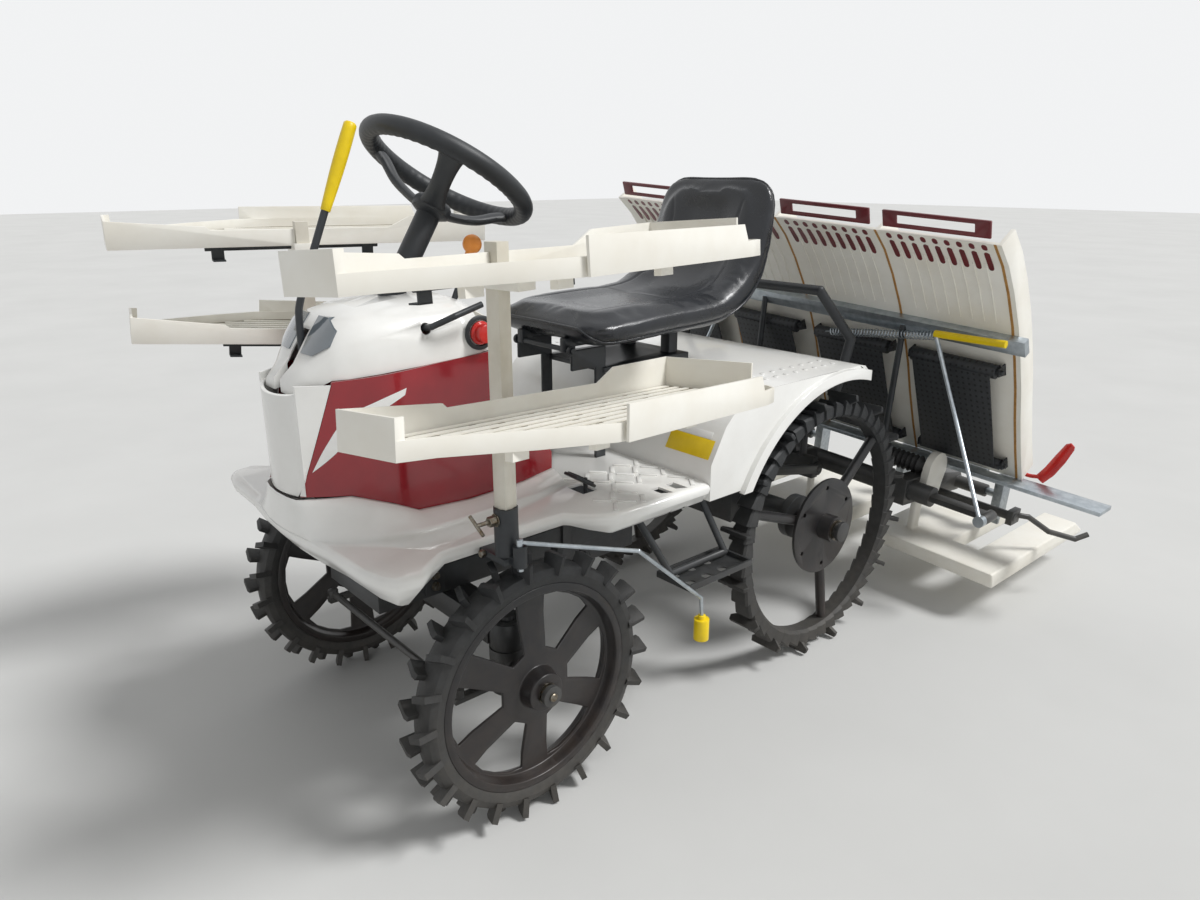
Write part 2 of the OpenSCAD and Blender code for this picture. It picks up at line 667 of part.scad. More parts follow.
module rack_place(t) {
    rotate([0, 0, t[3]]) translate([t[1], t[2], t[0]]) rotate([t[4], t[5], 0]) children();
}

module racks(side) {
    clip = 14 + seat_gap;
    color("#e6e1d0") on_side(side) translate([post_x, post_y, 0]) {
        for (t = rack_seats) difference() {
            rack_place(t) rack();
            rotate([0, 0, rack_yaw]) box([-clip - 1, -clip - 1, 700], [clip + 1, clip + 1, 1200]);
        }
        for (t = rack_seats) rotate([0, 0, rack_yaw]) difference() {
            box([-clip - 6, -clip - 6, t[0] - 22], [clip + 50, clip + 6, t[0] + 5]);
            box([-clip, -clip, t[0] - 40], [clip, clip, t[0] + 40]);
        }
    }
}

module side_marker(side) {
    pts = [[marker_x, post_y, 604], [545, 118, 578], [505, 336, 395], [505, 340, 350]];
    color("#b8c0c6") on_side(side) {
        bent_rod(pts, 4);
        translate([marker_x, post_y, 550]) cylinder(r = 6, h = 60);
    }
    color("#f2d20a") on_side(side) translate([505, 340, 0]) {
        translate([0, 0, 300]) cylinder(r = 16, h = 46);
        translate([0, 0, 346]) cylinder(r = 8, h = 8);
    }
}

// Planting unit

// A flat link between two eyes in the Y, Z plane, bored at its second eye
module link_plate(x0, x1, a, b, eye_r, half_w, bore_r) {
    d = (b - a) / norm(b - a);
    n = [-d[1], d[0]] * half_w;
    translate([x0, 0, 0]) rotate([90, 0, 90]) linear_extrude(x1 - x0) difference() {
        union() {
            translate(a) circle(r = eye_r);
            translate(b) circle(r = eye_r);
            polygon([a + d * 5 + n, a + d * 5 - n, b - d * 12 - n, b - d * 12 + n]);
        }
        translate(b) circle(r = bore_r);
    }
}

module lower_link() {
    color("#2b2d30") {
        for (s = [-1, 1]) on_side(s) link_plate(72, 84, link_low, hitch_low, 20, 15, 10 + run_gap);
        x_rod(-72, 72, link_low[0], link_low[1], 10);
    }
}

module upper_link() {
    a = link_low + [0, link_rise];
    b = hitch_low + [0, link_rise];
    color("#2b2d30") {
        link_plate(-12, 12, a, b, 20, 14, 11);
        x_rod(-57, -12, a[0], a[1], 16);
        x_rod(12, 57, a[0], a[1], 16);
        x_rod(-70, -57, a[0], a[1], 10);
        x_rod(57, 70, a[0], a[1], 10);
    }
}

module hitch() {
    b = hitch_low;
    color("#2b2d30") {
        box([-70, b[0] - 14, roll_z - 36], [70, b[0] + 14, roll_z + 30]);
        x_rod(-84, 84, b[0], b[1], 10);
        for (s = [-1, 1]) on_side(s) box([16, b[0] - 14, roll_z + 20], [26, b[0] + 14, b[1] + link_rise + 20]);
        x_rod(-20, 20, b[0], b[1] + link_rise, 10);
        translate([0, b[0] + 10, roll_z]) rotate([-90, 0, 0]) cylinder(r = 18 - run_gap, h = beam_y - 34 - b[0] - 10);
    }
}

module planting_frame() {
    color("#26282b") rolled() difference() {
        union() {
            x_rod(-420, 420, beam_y, roll_z, beam_r);
            translate([0, hitch_low[0] + 14 + seat_gap, roll_z]) rotate([-90, 0, 0])
                cylinder(r = 32, h = beam_y - hitch_low[0] - 14 - seat_gap);
            for (s = [-1, 1]) on_side(s) {
                box([400, beam_y - 20, roll_z - 8], [arm_x, beam_y + 20, roll_z + 8]);
                translate([arm_x, beam_y - 40, roll_z]) rotate([-90, 0, 0]) cylinder(r = 16, h = 60);
                rod([250, beam_y - beam_r, roll_z + 5], [250, brace[0], brace[1]], 9);
            }
            side_profile([brace_a, brace_b, brace_b + brace_n * 22, brace_a + brace_n * 22], -brace_half, brace_half);
        }
        translate([0, hitch_low[0], roll_z]) rotate([-90, 0, 0]) cylinder(r = 18 + run_gap, h = beam_y - 30 - hitch_low[0]);
        for (s = [-1, 1]) translate([s * arm_x, beam_y - 50, roll_z]) rotate([-90, 0, 0])
            cylinder(r = 8 + run_gap, h = 80);
    }
}

function case_top(y) = roll_z + 30 - (y - beam_y - 100) * (roll_z - rotor_z) / (rotor_y - beam_y - 90);
function case_under(y) = roll_z - 48 - (y - beam_y - 60) * (roll_z - 48 - rotor_z + 30) / (rotor_y - beam_y - 50);

module planter_cases() {
    color("#2b2d30") rolled() for (s = [-1, 1]) on_side(s) difference() {
        union() {
            side_profile([[beam_y - 42, roll_z - 40], [beam_y + 60, roll_z - 48], [rotor_y + 10, rotor_z - 30],
                [rotor_y + 32, rotor_z], [rotor_y + 10, rotor_z + 30], [beam_y + 100, roll_z + 30], [beam_y - 42, roll_z + 40]],
                case_x - 24, case_x + 24);
            x_rod(case_x - 120, case_x + 120, rotor_y, rotor_z, 20);
        }
        x_rod(case_x - 60, case_x + 60, beam_y, roll_z, beam_r + seat_gap);
        x_rod(case_x - 130, case_x + 130, rotor_y, rotor_z, 12 + run_gap);
    }
}

module rotors(side) {
    color("#b8c0c6") rolled() on_side(side) {
        x_rod(case_x - row_pitch / 2, case_x + row_pitch / 2, rotor_y, rotor_z, 12);
        for (d = [-1, 1]) translate([case_x + d * row_pitch / 2, rotor_y, rotor_z]) {
            side_profile([[-26, -70], [26, -70], [26, 70], [-26, 70]], -14, 14);
            for (k = [-1, 1]) rotate([90 + 90 * k, 0, 0]) side_profile([[-8, 60], [8, 60], [6, rotor_r - 1], [-6, rotor_r - 1]], -10, 10);
        }
    }
}

module guide_rail() {
    color("#b8c0c6") rolled() difference() {
        union() {
            translate([-(guide_z - roll_z) * sin(unit_roll), 0, 0])
                box([-rail_l / 2, rail_y0, guide_z - 12], [rail_l / 2, rail_y1, guide_z]);
            for (s = [-1, 1]) on_side(s) box([case_x - 20, rail_y0 + 4, case_top(rail_y0 + 4) + seat_gap], [case_x + 20, rail_y0 + 12, guide_z]);
        }
        for (x = [-1.5, -0.5, 0.5, 1.5]) box([x * row_pitch - 24, rail_y1 - 26, 300], [x * row_pitch + 24, rail_y1 + 5, 420]);
    }
}

module floats() {
    b = beam_y;
    z0 = float_z0;
    z1 = float_z1;
    color("#e6e1d0") rolled() {
        side_profile([[b - 102, z1 + 10], [b - 82, z0 + 20], [b - 32, z0], [b + 468, z0], [b + 468, z0 + 12], [b + 348, z1],
            [b - 72, z1 + 10]], -135, 135);
        for (s = [-1, 1]) on_side(s) {
            side_profile([[b - 22, z1], [b - 2, z0], [b + 518, z0], [b + 518, z0 + 12], [b + 468, z1]], 240, 455);
            side_profile([[b - 22, z1], [b - 2, z0], [b + 108, z0], [b + 108, z1]], 455, 535);
            side_profile([[b - 22, z1], [b - 2, z0], [b + 618, z0], [b + 618, z0 + 12], [b + 558, z1]], 535, 640);
            box([case_x - 10, b + 68, z1], [case_x + 10, b + 108, case_under(b + 108) - seat_gap]);
        }
        box([-10, beam_y - 10, z1], [10, beam_y + 10, roll_z - 32 - seat_gap]);
    }
}

module tray() {
    n = len(tray_line);
    under = [for (i = [n - 1:-1:0]) tray_under(i)];
    color("#e6e1d0") rolled_tray() {
        difference() {
            side_profile(concat(tray_line, under), -tray_half, tray_half);
            for (k = [-2:1], i = [0:slots - 1], c = tray_slots) let (x = k * row_pitch + 36 + i * (row_pitch - 72) / (slots - 1))
                side_profile(c, x - 7, x + 7);
        }
        for (k = [-2:2]) side_profile(concat([for (i = [0:n - 1]) tray_under(i)], [for (i = [n - 1:-1:0]) tray_line[i] + [48, 30]]),
            k * row_pitch - (k > 0 ? 0 : (k < 0 ? 10 : 5)), k * row_pitch + (k > 0 ? 10 : (k < 0 ? 0 : 5)));
    }
}

module tray_grips() {
    y = tray_line[0][0];
    color("#5a1e22") rolled_tray() for (k = [-2:1])
        difference() {
        side_profile([[y - 7, 1106], [y, 1108], [y - 14, 1150], [y - 22, 1148]], k * row_pitch + 20, (k + 1) * row_pitch - 20);
        side_profile([[y - 20, 1118], [y + 10, 1118], [y - 4, 1138], [y - 34, 1138]], k * row_pitch + 60, (k + 1) * row_pitch - 60);
    }
}

function under_y(z) = lookup(-z, [for (i = [0:len(tray_line) - 1]) [-tray_under(i)[1], tray_under(i)[0]]]);

module feed_belts() {
    d = (belt_low - belt_top) / norm(belt_low - belt_top);
    n = [d[1], -d[0]];
    color("#1b1c1e") rolled_tray() for (k = [-2:1]) {
        x0 = k * row_pitch + 30;
        x1 = (k + 1) * row_pitch - 30;
        x_rod(x0 + 10, x1 - 10, belt_top[0], belt_top[1], 20);
        x_rod(x0 + 10, x1 - 10, belt_low[0], belt_low[1], 16);
        side_profile([belt_top + n * 19, belt_top + n * 23, belt_low + n * 19, belt_low + n * 15], x0 + 20, x1 - 20);
        for (x = [x0, x1 - 4], c = [belt_top, belt_low]) {
            x_rod(x, x + 12, c[0], c[1], 7);
            side_profile([c + [-12, 10], c + [-8, -12], [under_y(c[1] - 12) - seat_gap, c[1] - 12],
                [under_y(c[1] + 22) - seat_gap, c[1] + 22]], x, x + 4);
        }
        for (c = [belt_top, belt_low]) x_rod(x0, x1, c[0], c[1], 6);
    }
}

module drive_cover() {
    x0 = case_x + 24 + seat_gap;
    color("#e6e1d0") rolled() translate([x0, beam_y + 78, roll_z - 4]) rotate([90, 0, 90]) {
        linear_extrude(22) {
            translate([14, 56]) circle(r = 52);
            circle(r = 47);
            polygon([[-46.4, 8], [46.4, -8], [65, 46], [-37, 66]]);
        }
        translate([4, -8, 22]) cylinder(r = 12, h = 6);
    }
}

module unit_hook() {
    x0 = case_x + 24 + seat_gap;
    color("#202224") rolled() {
        x_rod(x0, arm_x + 14, rotor_y - 132, roll_z - 40, 13);
        box([arm_x - 6, rotor_y - 150, roll_z - 62], [arm_x + 12, rotor_y - 100, roll_z - 20]);
        bent_rod([[arm_x + 2, rotor_y - 112, roll_z - 40], [arm_x + 30, rotor_y - 80, roll_z - 46],
            [arm_x + 74, rotor_y - 24, roll_z - 92], [arm_x + 126, rotor_y + 50, roll_z - 118],
            [arm_x + 150, rotor_y + 74, roll_z - 100]], 8);
    }
}

module line_marker(side) {
    color("#b8c0c6") rolled() on_side(side) {
        translate([arm_x, beam_y - 60, roll_z]) rotate([-90, 0, 0]) cylinder(r = 8, h = 84);
        translate([arm_x, beam_y - 60, roll_z]) rotate([-90, 0, 0]) cylinder(r = 16, h = 20 - seat_gap);
        rod([arm_x, beam_y - 50, roll_z], [372, beam_y - 62, 826], 6);
    }
    color("#f2d20a") rolled() on_side(side) rod([370, beam_y - 62, 826], [566, beam_y - 62, 836], 10);
}

module place() {
    translate([0, axle_y, 0]) children();
}

place() frame();
place() engine();
place() transmission();
place() front_axle();
place() rear_axle();
place() knuckle(1);  // knuckle_left
place() knuckle(-1);  // knuckle_right
place() tie_rod();
place() front_disc(1);  // front_disc_left
place() front_disc(-1);  // front_disc_right
place() front_tyre(1);  // front_tyre_left
place() front_tyre(-1);  // front_tyre_right
place() rear_wheel(1);  // rear_wheel_left
place() rear_wheel(-1);  // rear_wheel_right
place() rear_lug_ring(1);  // rear_lugs_left
place() rear_lug_ring(-1);  // rear_lugs_right
place() floor();
place() rear_deck();
place() side_panel(1);  // side_panel_left
place() side_panel(-1);  // side_panel_right
place() nose_cover();
place() top_cover();
place() headlamp();
place() control_knob();
place() change_lever();
place() steering_column();
place() steering_wheel();
place() seat();
place() seat_mount();
place() walk_handle();
place() guard_hoop();
place() lever_guide();
place() step(1);  // step_left
place() step(-1);  // step_right
place() rack_bracket(1);  // rack_bracket_left
place() rack_bracket(-1);  // rack_bracket_right
place() rack_post(1);  // rack_post_left
place() rack_post(-1);  // rack_post_right
place() racks(1);  // racks_left
place() racks(-1);  // racks_right
place() side_marker(1);  // side_marker_left
place() side_marker(-1);  // side_marker_right
place() lower_link();
place() upper_link();
place() hitch();
place() planting_frame();
place() planter_cases();
place() rotors(1);  // rotors_left
place() rotors(-1);  // rotors_right
place() guide_rail();
place() floats();
place() tray();
place() tray_grips();
place() feed_belts();
place() line_marker(1);  // line_marker_left
place() line_marker(-1);  // line_marker_right
place() drive_cover();
place() unit_hook();
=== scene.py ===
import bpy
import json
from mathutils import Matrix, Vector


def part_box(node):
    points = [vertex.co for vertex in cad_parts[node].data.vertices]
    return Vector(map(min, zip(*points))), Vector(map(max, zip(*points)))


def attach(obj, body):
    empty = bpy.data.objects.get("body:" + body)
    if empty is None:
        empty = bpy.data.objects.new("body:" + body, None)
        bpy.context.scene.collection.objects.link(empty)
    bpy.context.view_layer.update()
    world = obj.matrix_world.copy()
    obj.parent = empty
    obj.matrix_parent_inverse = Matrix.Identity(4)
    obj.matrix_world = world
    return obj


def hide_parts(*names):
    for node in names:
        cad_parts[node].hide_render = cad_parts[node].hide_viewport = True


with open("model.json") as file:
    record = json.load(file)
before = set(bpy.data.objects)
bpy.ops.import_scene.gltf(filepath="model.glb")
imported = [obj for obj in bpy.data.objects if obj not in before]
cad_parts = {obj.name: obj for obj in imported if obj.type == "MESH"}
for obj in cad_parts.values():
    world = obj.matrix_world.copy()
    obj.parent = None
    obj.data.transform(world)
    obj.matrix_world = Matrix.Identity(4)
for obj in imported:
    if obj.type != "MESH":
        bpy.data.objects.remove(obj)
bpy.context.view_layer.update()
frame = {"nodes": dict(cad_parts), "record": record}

import json
import math
import bmesh
import bpy
from mathutils import Matrix, Vector
from mathutils.bvhtree import BVHTree

# Rails, axles and engine
# Rails and brackets are welded steel, and the housings and knuckles are castings bolted to them.
# All of it is painted satin black, and the engine and gear case dark grey, with dust low down.


def linear(hex_colour):
    parts = [int(hex_colour[i:i + 2], 16) / 255 for i in (1, 3, 5)]
    return tuple(c / 12.92 if c <= 0.04045 else ((c + 0.055) / 1.055) ** 2.4 for c in parts) + (1.0,)


def add(tree, kind, settings=None, inputs=None):
    made = tree.nodes.new(kind)
    for key, value in (settings or {}).items():
        setattr(made, key, value)
    for key, value in (inputs or {}).items():
        if isinstance(value, bpy.types.NodeSocket):
            tree.links.new(value, made.inputs[key])
        else:
            made.inputs[key].default_value = value
    return made


def finish(name, main, other, patch_mm, rough, grain_mm, bump, metal=0.0, coat=0.0, spread=0.06,
           dust=None, dust_top=0.0, dust_amount=0.0):
    """A finish of two near colours in patches, a fine relief, and dust that thins out upwards.

    patch_mm and grain_mm are the real sizes of the patches and of the relief's grain.
    """
    made = bpy.data.materials.new(name)
    made.use_nodes = True
    tree = made.node_tree
    shader = tree.nodes["Principled BSDF"]
    place = add(tree, "ShaderNodeTexCoord").outputs["Object"]
    patches = add(tree, "ShaderNodeTexNoise", None,
                  {"Vector": place, "Scale": 1000 / patch_mm, "Detail": 4.0, "Roughness": 0.6})
    ramp = add(tree, "ShaderNodeMapRange", None,
               {"Value": patches.outputs["Fac"], "From Min": 0.35, "From Max": 0.68})
    colour = add(tree, "ShaderNodeMix", {"data_type": "RGBA"}, {0: ramp.outputs["Result"]})
    colour.inputs[6].default_value = linear(main)
    colour.inputs[7].default_value = linear(other)
    tint = colour.outputs[2]
    if dust:
        height = add(tree, "ShaderNodeSeparateXYZ", None, {0: place}).outputs["Z"]
        low = add(tree, "ShaderNodeMapRange", None,
                  {"Value": height, "From Min": dust_top, "From Max": 0.0, "To Max": dust_amount})
        # Dried mud breaks into flecks of about 26 mm.
        specks = add(tree, "ShaderNodeTexNoise", None,
                     {"Vector": place, "Scale": 38.0, "Detail": 6.0, "Roughness": 0.7})
        amount = add(tree, "ShaderNodeMath", {"operation": "MULTIPLY"},
                     {0: low.outputs["Result"], 1: specks.outputs["Fac"]})
        dusty = add(tree, "ShaderNodeMix", {"data_type": "RGBA"}, {0: amount.outputs[0], 6: tint})
        dusty.inputs[7].default_value = linear(dust)
        tint = dusty.outputs[2]
    tree.links.new(tint, shader.inputs["Base Color"])
    sheen = add(tree, "ShaderNodeMapRange", None,
                {"Value": patches.outputs["Fac"], "To Min": rough - spread, "To Max": rough + spread})
    tree.links.new(sheen.outputs["Result"], shader.inputs["Roughness"])
    grain = add(tree, "ShaderNodeTexNoise", None,
                {"Vector": place, "Scale": 1000 / grain_mm, "Detail": 3.0})
    relief = add(tree, "ShaderNodeBump", None,
                 {"Height": grain.outputs["Fac"], "Strength": bump, "Distance": 0.001})
    tree.links.new(relief.outputs["Normal"], shader.inputs["Normal"])
    shader.inputs["Metallic"].default_value = metal
    shader.inputs["Coat Weight"].default_value = coat
    shader.inputs["Coat Roughness"].default_value = 0.08
    return made


body_of = {node: body for body, nodes in frame["record"]["behaviour"]["bodies"].items() for node in nodes}
axle_low, axle_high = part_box("front_axle")
axle_y = (axle_low[1] + axle_high[1]) / 2


def local(v):
    """A place in metres as mm from the front axle."""
    return Vector((v[0] * 1000, (v[1] - axle_y) * 1000, v[2] * 1000))


def shaded(mesh, degrees=35):
    """Smooth shading, broken where faces meet at more than the given angle."""
    mesh.polygons.foreach_set("use_smooth", [True] * len(mesh.polygons))
    mesh.set_sharp_from_angle(angle=math.radians(degrees))
    return mesh


def piece(name, mesh, material, body, degrees=35):
    """A mesh as a named object with its finish, on the body that carries it."""
    made = bpy.data.objects.new(name, shaded(mesh, degrees))
    bpy.context.scene.collection.objects.link(made)
    mesh.materials.clear()
    mesh.materials.append(material)
    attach(made, body)
    return made


def carried(node):
    """The node's solid as an open mesh, with flat neighbours joined."""
    bm = bmesh.new()
    bm.from_mesh(frame["nodes"][node].data)
    bmesh.ops.remove_doubles(bm, verts=bm.verts, dist=0.00002)
    bmesh.ops.dissolve_limit(bm, angle_limit=math.radians(0.6), verts=bm.verts, edges=bm.edges)
    return bm


def rounded(node, radius_mm, material, segments=2, degrees=35, keep=None, suffix="skin"):
    """The node's own form with its edges rounded; keep picks the faces by their centre in mm."""
    bm = carried(node)
    sharp = [e for e in bm.edges if e.is_manifold and e.calc_face_angle(0) > math.radians(degrees)]
    if radius_mm:
        bmesh.ops.bevel(bm, geom=sharp, offset=radius_mm / 1000, offset_type="OFFSET", segments=segments,
                        profile=0.5, affect="EDGES", clamp_overlap=True, loop_slide=False)
    if keep:
        gone = [f for f in bm.faces if not keep(local(f.calc_center_median()))]
        bmesh.ops.delete(bm, geom=gone, context="FACES")
    mesh = bpy.data.meshes.new(node + "_" + suffix)
    bm.to_mesh(mesh)
    bm.free()
    made = piece(node + "_" + suffix, mesh, material, body_of[node], degrees)
    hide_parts(node)
    return made


# Satin enamel sprayed on steel gives a dark skin with a broad soft sheen.
black_paint = finish("satin black enamel on steel", "#24272A", "#303438", 60, 0.42, 1.6, 0.12,
                     dust="#8A8070", dust_top=0.5, dust_amount=0.5)
for name in ("frame", "front_axle", "rear_axle", "knuckle_left", "knuckle_right", "tie_rod", "seat_mount",
             "rack_bracket_left", "rack_bracket_right"):
    rounded(name, 2.0, black_paint)
# Paint over sand-cast iron stays rough and dull, and holds dust.
cast_paint = finish("dark grey paint on cast iron", "#303338", "#3C4046", 25, 0.55, 2.5, 0.4,
                    dust="#8A8070", dust_top=0.6, dust_amount=0.4)
for name in ("engine", "transmission"):
    rounded(name, 6.0, cast_paint)

# Wheels
# Each disc or ring is pressed steel held by one hub nut. The front tyres are solid rubber with
# moulded lugs, and the rear rings carry a toothed rubber band between flat rubber lugs.

# Smooth enamel on pressed steel is the glossier black, with a trace of rust.
wheel_paint = finish("satin black enamel on pressed steel", "#191B1E", "#242323", 30, 0.32, 1.2, 0.15,
                     dust="#6A4E38", dust_top=0.5, dust_amount=0.22)
# Moulded rubber is a matt grey black, dusty near the ground.
lug_rubber = finish("moulded black rubber", "#1B1D1F", "#292B2D", 18, 0.6, 1.0, 0.35,
                    dust="#7E766A", dust_top=0.55, dust_amount=0.4)
# Old zinc plate on nuts and bolts is a dull warm metal.
zinc_bolt = finish("dull zinc plate on a fastener", "#8C8A82", "#6A5A46", 6, 0.36, 0.8, 0.1, metal=1.0)


def at(x, y, z):
    """A place in metres from mm off the front axle."""
    return Vector((x / 1000, y / 1000 + axle_y, z / 1000))


def solid(name, parts, material, body, degrees=35):
    """One piece with no solid of its own, from the parts that are built into it."""
    bm = bmesh.new()
    for part in parts:
        part(bm)
    mesh = bpy.data.meshes.new(name)
    bm.to_mesh(mesh)
    bm.free()
    return piece(name, mesh, material, body, degrees)


def turned(profile, place, axis, count=24):
    """Revolve (radius, height) pairs in mm round an axis through a place in metres."""
    def build(bm):
        turn = Vector((0, 0, 1)).rotation_difference(axis.normalized()).to_matrix()
        rings = []
        for radius, height in profile:
            if radius < 1e-6:
                rings.append([bm.verts.new(place + turn @ Vector((0, 0, height / 1000)))])
                continue
            angles = [2 * math.pi * k / count for k in range(count)]
            ring = [Vector((radius / 1000 * math.cos(a), radius / 1000 * math.sin(a), height / 1000))
                    for a in angles]
            rings.append([bm.verts.new(place + turn @ p) for p in ring])
        for low, high in zip(rings, rings[1:]):
            for k in range(count):
                j = (k + 1) % count
                if len(low) == 1 and len(high) > 1:
                    bm.faces.new((low[0], high[j], high[k]))
                elif len(high) == 1 and len(low) > 1:
                    bm.faces.new((low[k], low[j], high[0]))
                elif len(low) > 1:
                    bm.faces.new((low[k], low[j], high[j], high[k]))
    return build


def hexagon(place, axis, across, height):
    """A nut or bolt head, with its top edge turned down."""
    r = across / math.sqrt(3)
    return turned([(0, 0), (r, 0), (r, height * 0.86), (r * 0.93, height), (0, height)], place, axis, 6)


def sleeve(bm, rings, following):
    """Faces between each ring of points and the one that follows it."""
    for low, high in zip(rings, following):
        for k in range(len(low)):
            j = (k + 1) % len(low)
            bm.faces.new((low[k], low[j], high[j], high[k]))


def skinned(bm, rings, closed=False):
    """A skin over rings of points, capped at both ends or joined end to end, facing outwards."""
    sleeve(bm, rings, rings[1:] + rings[:1] if closed else rings[1:])
    if not closed:
        bm.faces.new(rings[0])
        bm.faces.new(rings[-1])
    bmesh.ops.recalc_face_normals(bm, faces=bm.faces)


front_hub = (375, 0, 275)
rear_hub = (362, 942, 348)
front_hub_face = front_hub[0] + 46.4
rear_hub_face = rear_hub[0] + 56.4
lug_count = 16
teeth_a_lug = 3


def rear_tread(side):
    """The rubber round the rear ring: three saw teeth between one lug and the next."""
    def build(bm):
        tooth_count = lug_count * teeth_a_lug
        rings = []
        for tooth in range(tooth_count):
            for part, outer, half in ((0.02, 320, 22), (0.5, 327, 26), (0.98, 333, 27)):
                a = 2 * math.pi * (tooth + part) / tooth_count
                section = [(289, -18), (296, -half), (outer - 5, -half), (outer, 5 - half),
                           (outer, half - 5), (outer - 5, half), (296, half), (289, 18)]
                rings.append([bm.verts.new(at(side * (rear_hub[0] + across),
                                              rear_hub[1] + r * math.sin(a),
                                              rear_hub[2] - r * math.cos(a))) for r, across in section])
        skinned(bm, rings, closed=True)
    return build


for side in ("left", "right"):
    rounded("front_disc_" + side, 2.2, wheel_paint)
    rounded("front_tyre_" + side, 1.4, lug_rubber, degrees=28)
    rounded("rear_wheel_" + side, 1.6, wheel_paint)
    rounded("rear_lugs_" + side, 2.2, lug_rubber, degrees=28)
    low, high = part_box("front_disc_" + side)
    way = 1 if low[0] + high[0] > 0 else -1
    out = Vector((way, 0, 0))
    face = at(way * front_hub_face, front_hub[1], front_hub[2])
    parts = [turned([(0, 0), (21, 0), (21, 3), (0, 3)], face, out, 32),
             hexagon(face + out * 0.003, out, 30, 13),
             turned([(0, 0), (8.6, 0), (8.6, 6), (7, 8), (0, 8)], face + out * 0.016, out, 20)]
    solid("front_hub_nut_" + side, parts, zinc_bolt, body_of["front_disc_" + side])
    face = at(way * rear_hub_face, rear_hub[1], rear_hub[2])
    parts = [turned([(0, 0), (27, 0), (27, 4), (0, 4)], face, out, 32),
             hexagon(face + out * 0.004, out, 30, 12)]
    solid("rear_hub_nut_" + side, parts, zinc_bolt, body_of["rear_wheel_" + side])
    solid("rear_tread_" + side, [rear_tread(way)], lug_rubber, body_of["rear_wheel_" + side],
          25)

# Floor and rear deck
# Two one-piece mouldings in glossy white plastic, screwed to the rails. The floor has raised
# tread bars for the feet, and the deck has studs over the wheels and a yellow and a white label.

# Gloss moulded white is near white with a clear wet-looking skin.
white_shell = finish("glossy white moulded plastic", "#F1F1EE", "#E9E8E4", 160, 0.24, 2.2, 0.05, coat=0.4)
rounded("floor", 0, white_shell, degrees=50)
rounded("rear_deck", 2.2, white_shell, segments=3)


def block(centre, size_mm, radius_mm, turn=None):
    """A box with rounded edges round a centre in metres, turned as a matrix says."""
    def build(bm):
        own = bmesh.new()
        bmesh.ops.create_cube(own, size=1.0)
        bmesh.ops.scale(own, vec=Vector(size_mm) / 1000, verts=own.verts)
        bmesh.ops.bevel(own, geom=list(own.edges), offset=radius_mm / 1000, offset_type="OFFSET",
                        segments=2, profile=0.5, affect="EDGES", clamp_overlap=True)
        place = Matrix.Translation(centre) @ (turn or Matrix.Identity(3)).to_4x4()
        bmesh.ops.transform(own, matrix=place, verts=own.verts)
        mesh = bpy.data.meshes.new("block")
        own.to_mesh(mesh)
        own.free()
        bm.from_mesh(mesh)
        bpy.data.meshes.remove(mesh)
    return build


def repeated(name, form, spots, turn_degrees, material, body):
    """Copies of one small form set out by a node tree; each spot has a place and a share of the turn."""
    tree = bpy.data.node_groups.new(name + "_copies", "GeometryNodeTree")
    label_of = {}
    inputs = (("Places", "Geometry"), ("Form", "Object"), ("Turn", "Float"), ("Finish", "Material"))
    for label, kind in inputs:
        made = tree.interface.new_socket(label, in_out="INPUT", socket_type="NodeSocket" + kind)
        label_of[label] = made.identifier
    tree.interface.new_socket("Copies", in_out="OUTPUT", socket_type="NodeSocketGeometry")
    given = add(tree, "NodeGroupInput").outputs
    shape = add(tree, "GeometryNodeObjectInfo", None, {"Object": given["Form"]})
    share = add(tree, "GeometryNodeInputNamedAttribute", {"data_type": "FLOAT"}, {"Name": "share"})
    angle = add(tree, "ShaderNodeMath", {"operation": "MULTIPLY"},
                {0: given["Turn"], 1: share.outputs["Attribute"]})
    upright = add(tree, "ShaderNodeCombineXYZ", None, {"Z": angle.outputs[0]})
    copies = add(tree, "GeometryNodeInstanceOnPoints", None,
                 {"Points": given["Places"], "Instance": shape.outputs["Geometry"],
                  "Rotation": upright.outputs[0]})
    real = add(tree, "GeometryNodeRealizeInstances", None, {"Geometry": copies.outputs["Instances"]})
    painted = add(tree, "GeometryNodeSetMaterial", None,
                  {"Geometry": real.outputs["Geometry"], "Material": given["Finish"]})
    add(tree, "NodeGroupOutput", None, {"Copies": painted.outputs["Geometry"]})
    bm = bmesh.new()
    form(bm)
    one = bpy.data.objects.new(name + "_form", bpy.data.meshes.new(name + "_form"))
    bm.to_mesh(one.data)
    bm.free()
    places = bpy.data.meshes.new(name + "_places")
    places.from_pydata([place for place, part in spots], [], [])
    shares = places.attributes.new("share", "FLOAT", "POINT")
    shares.data.foreach_set("value", [part for place, part in spots])
    holder = bpy.data.objects.new(name + "_places", places)
    bpy.context.scene.collection.objects.link(holder)
    setter = holder.modifiers.new("copies", "NODES")
    setter.node_group = tree
    setter[label_of["Form"]] = one
    setter[label_of["Turn"]] = math.radians(turn_degrees)
    setter[label_of["Finish"]] = material
    graph = bpy.context.evaluated_depsgraph_get()
    mesh = bpy.data.meshes.new_from_object(holder.evaluated_get(graph))
    holder.modifiers.clear()
    bpy.data.objects.remove(holder)
    bpy.data.objects.remove(one)
    mesh.attributes.remove(mesh.attributes["share"])
    return piece(name, mesh, material, body)


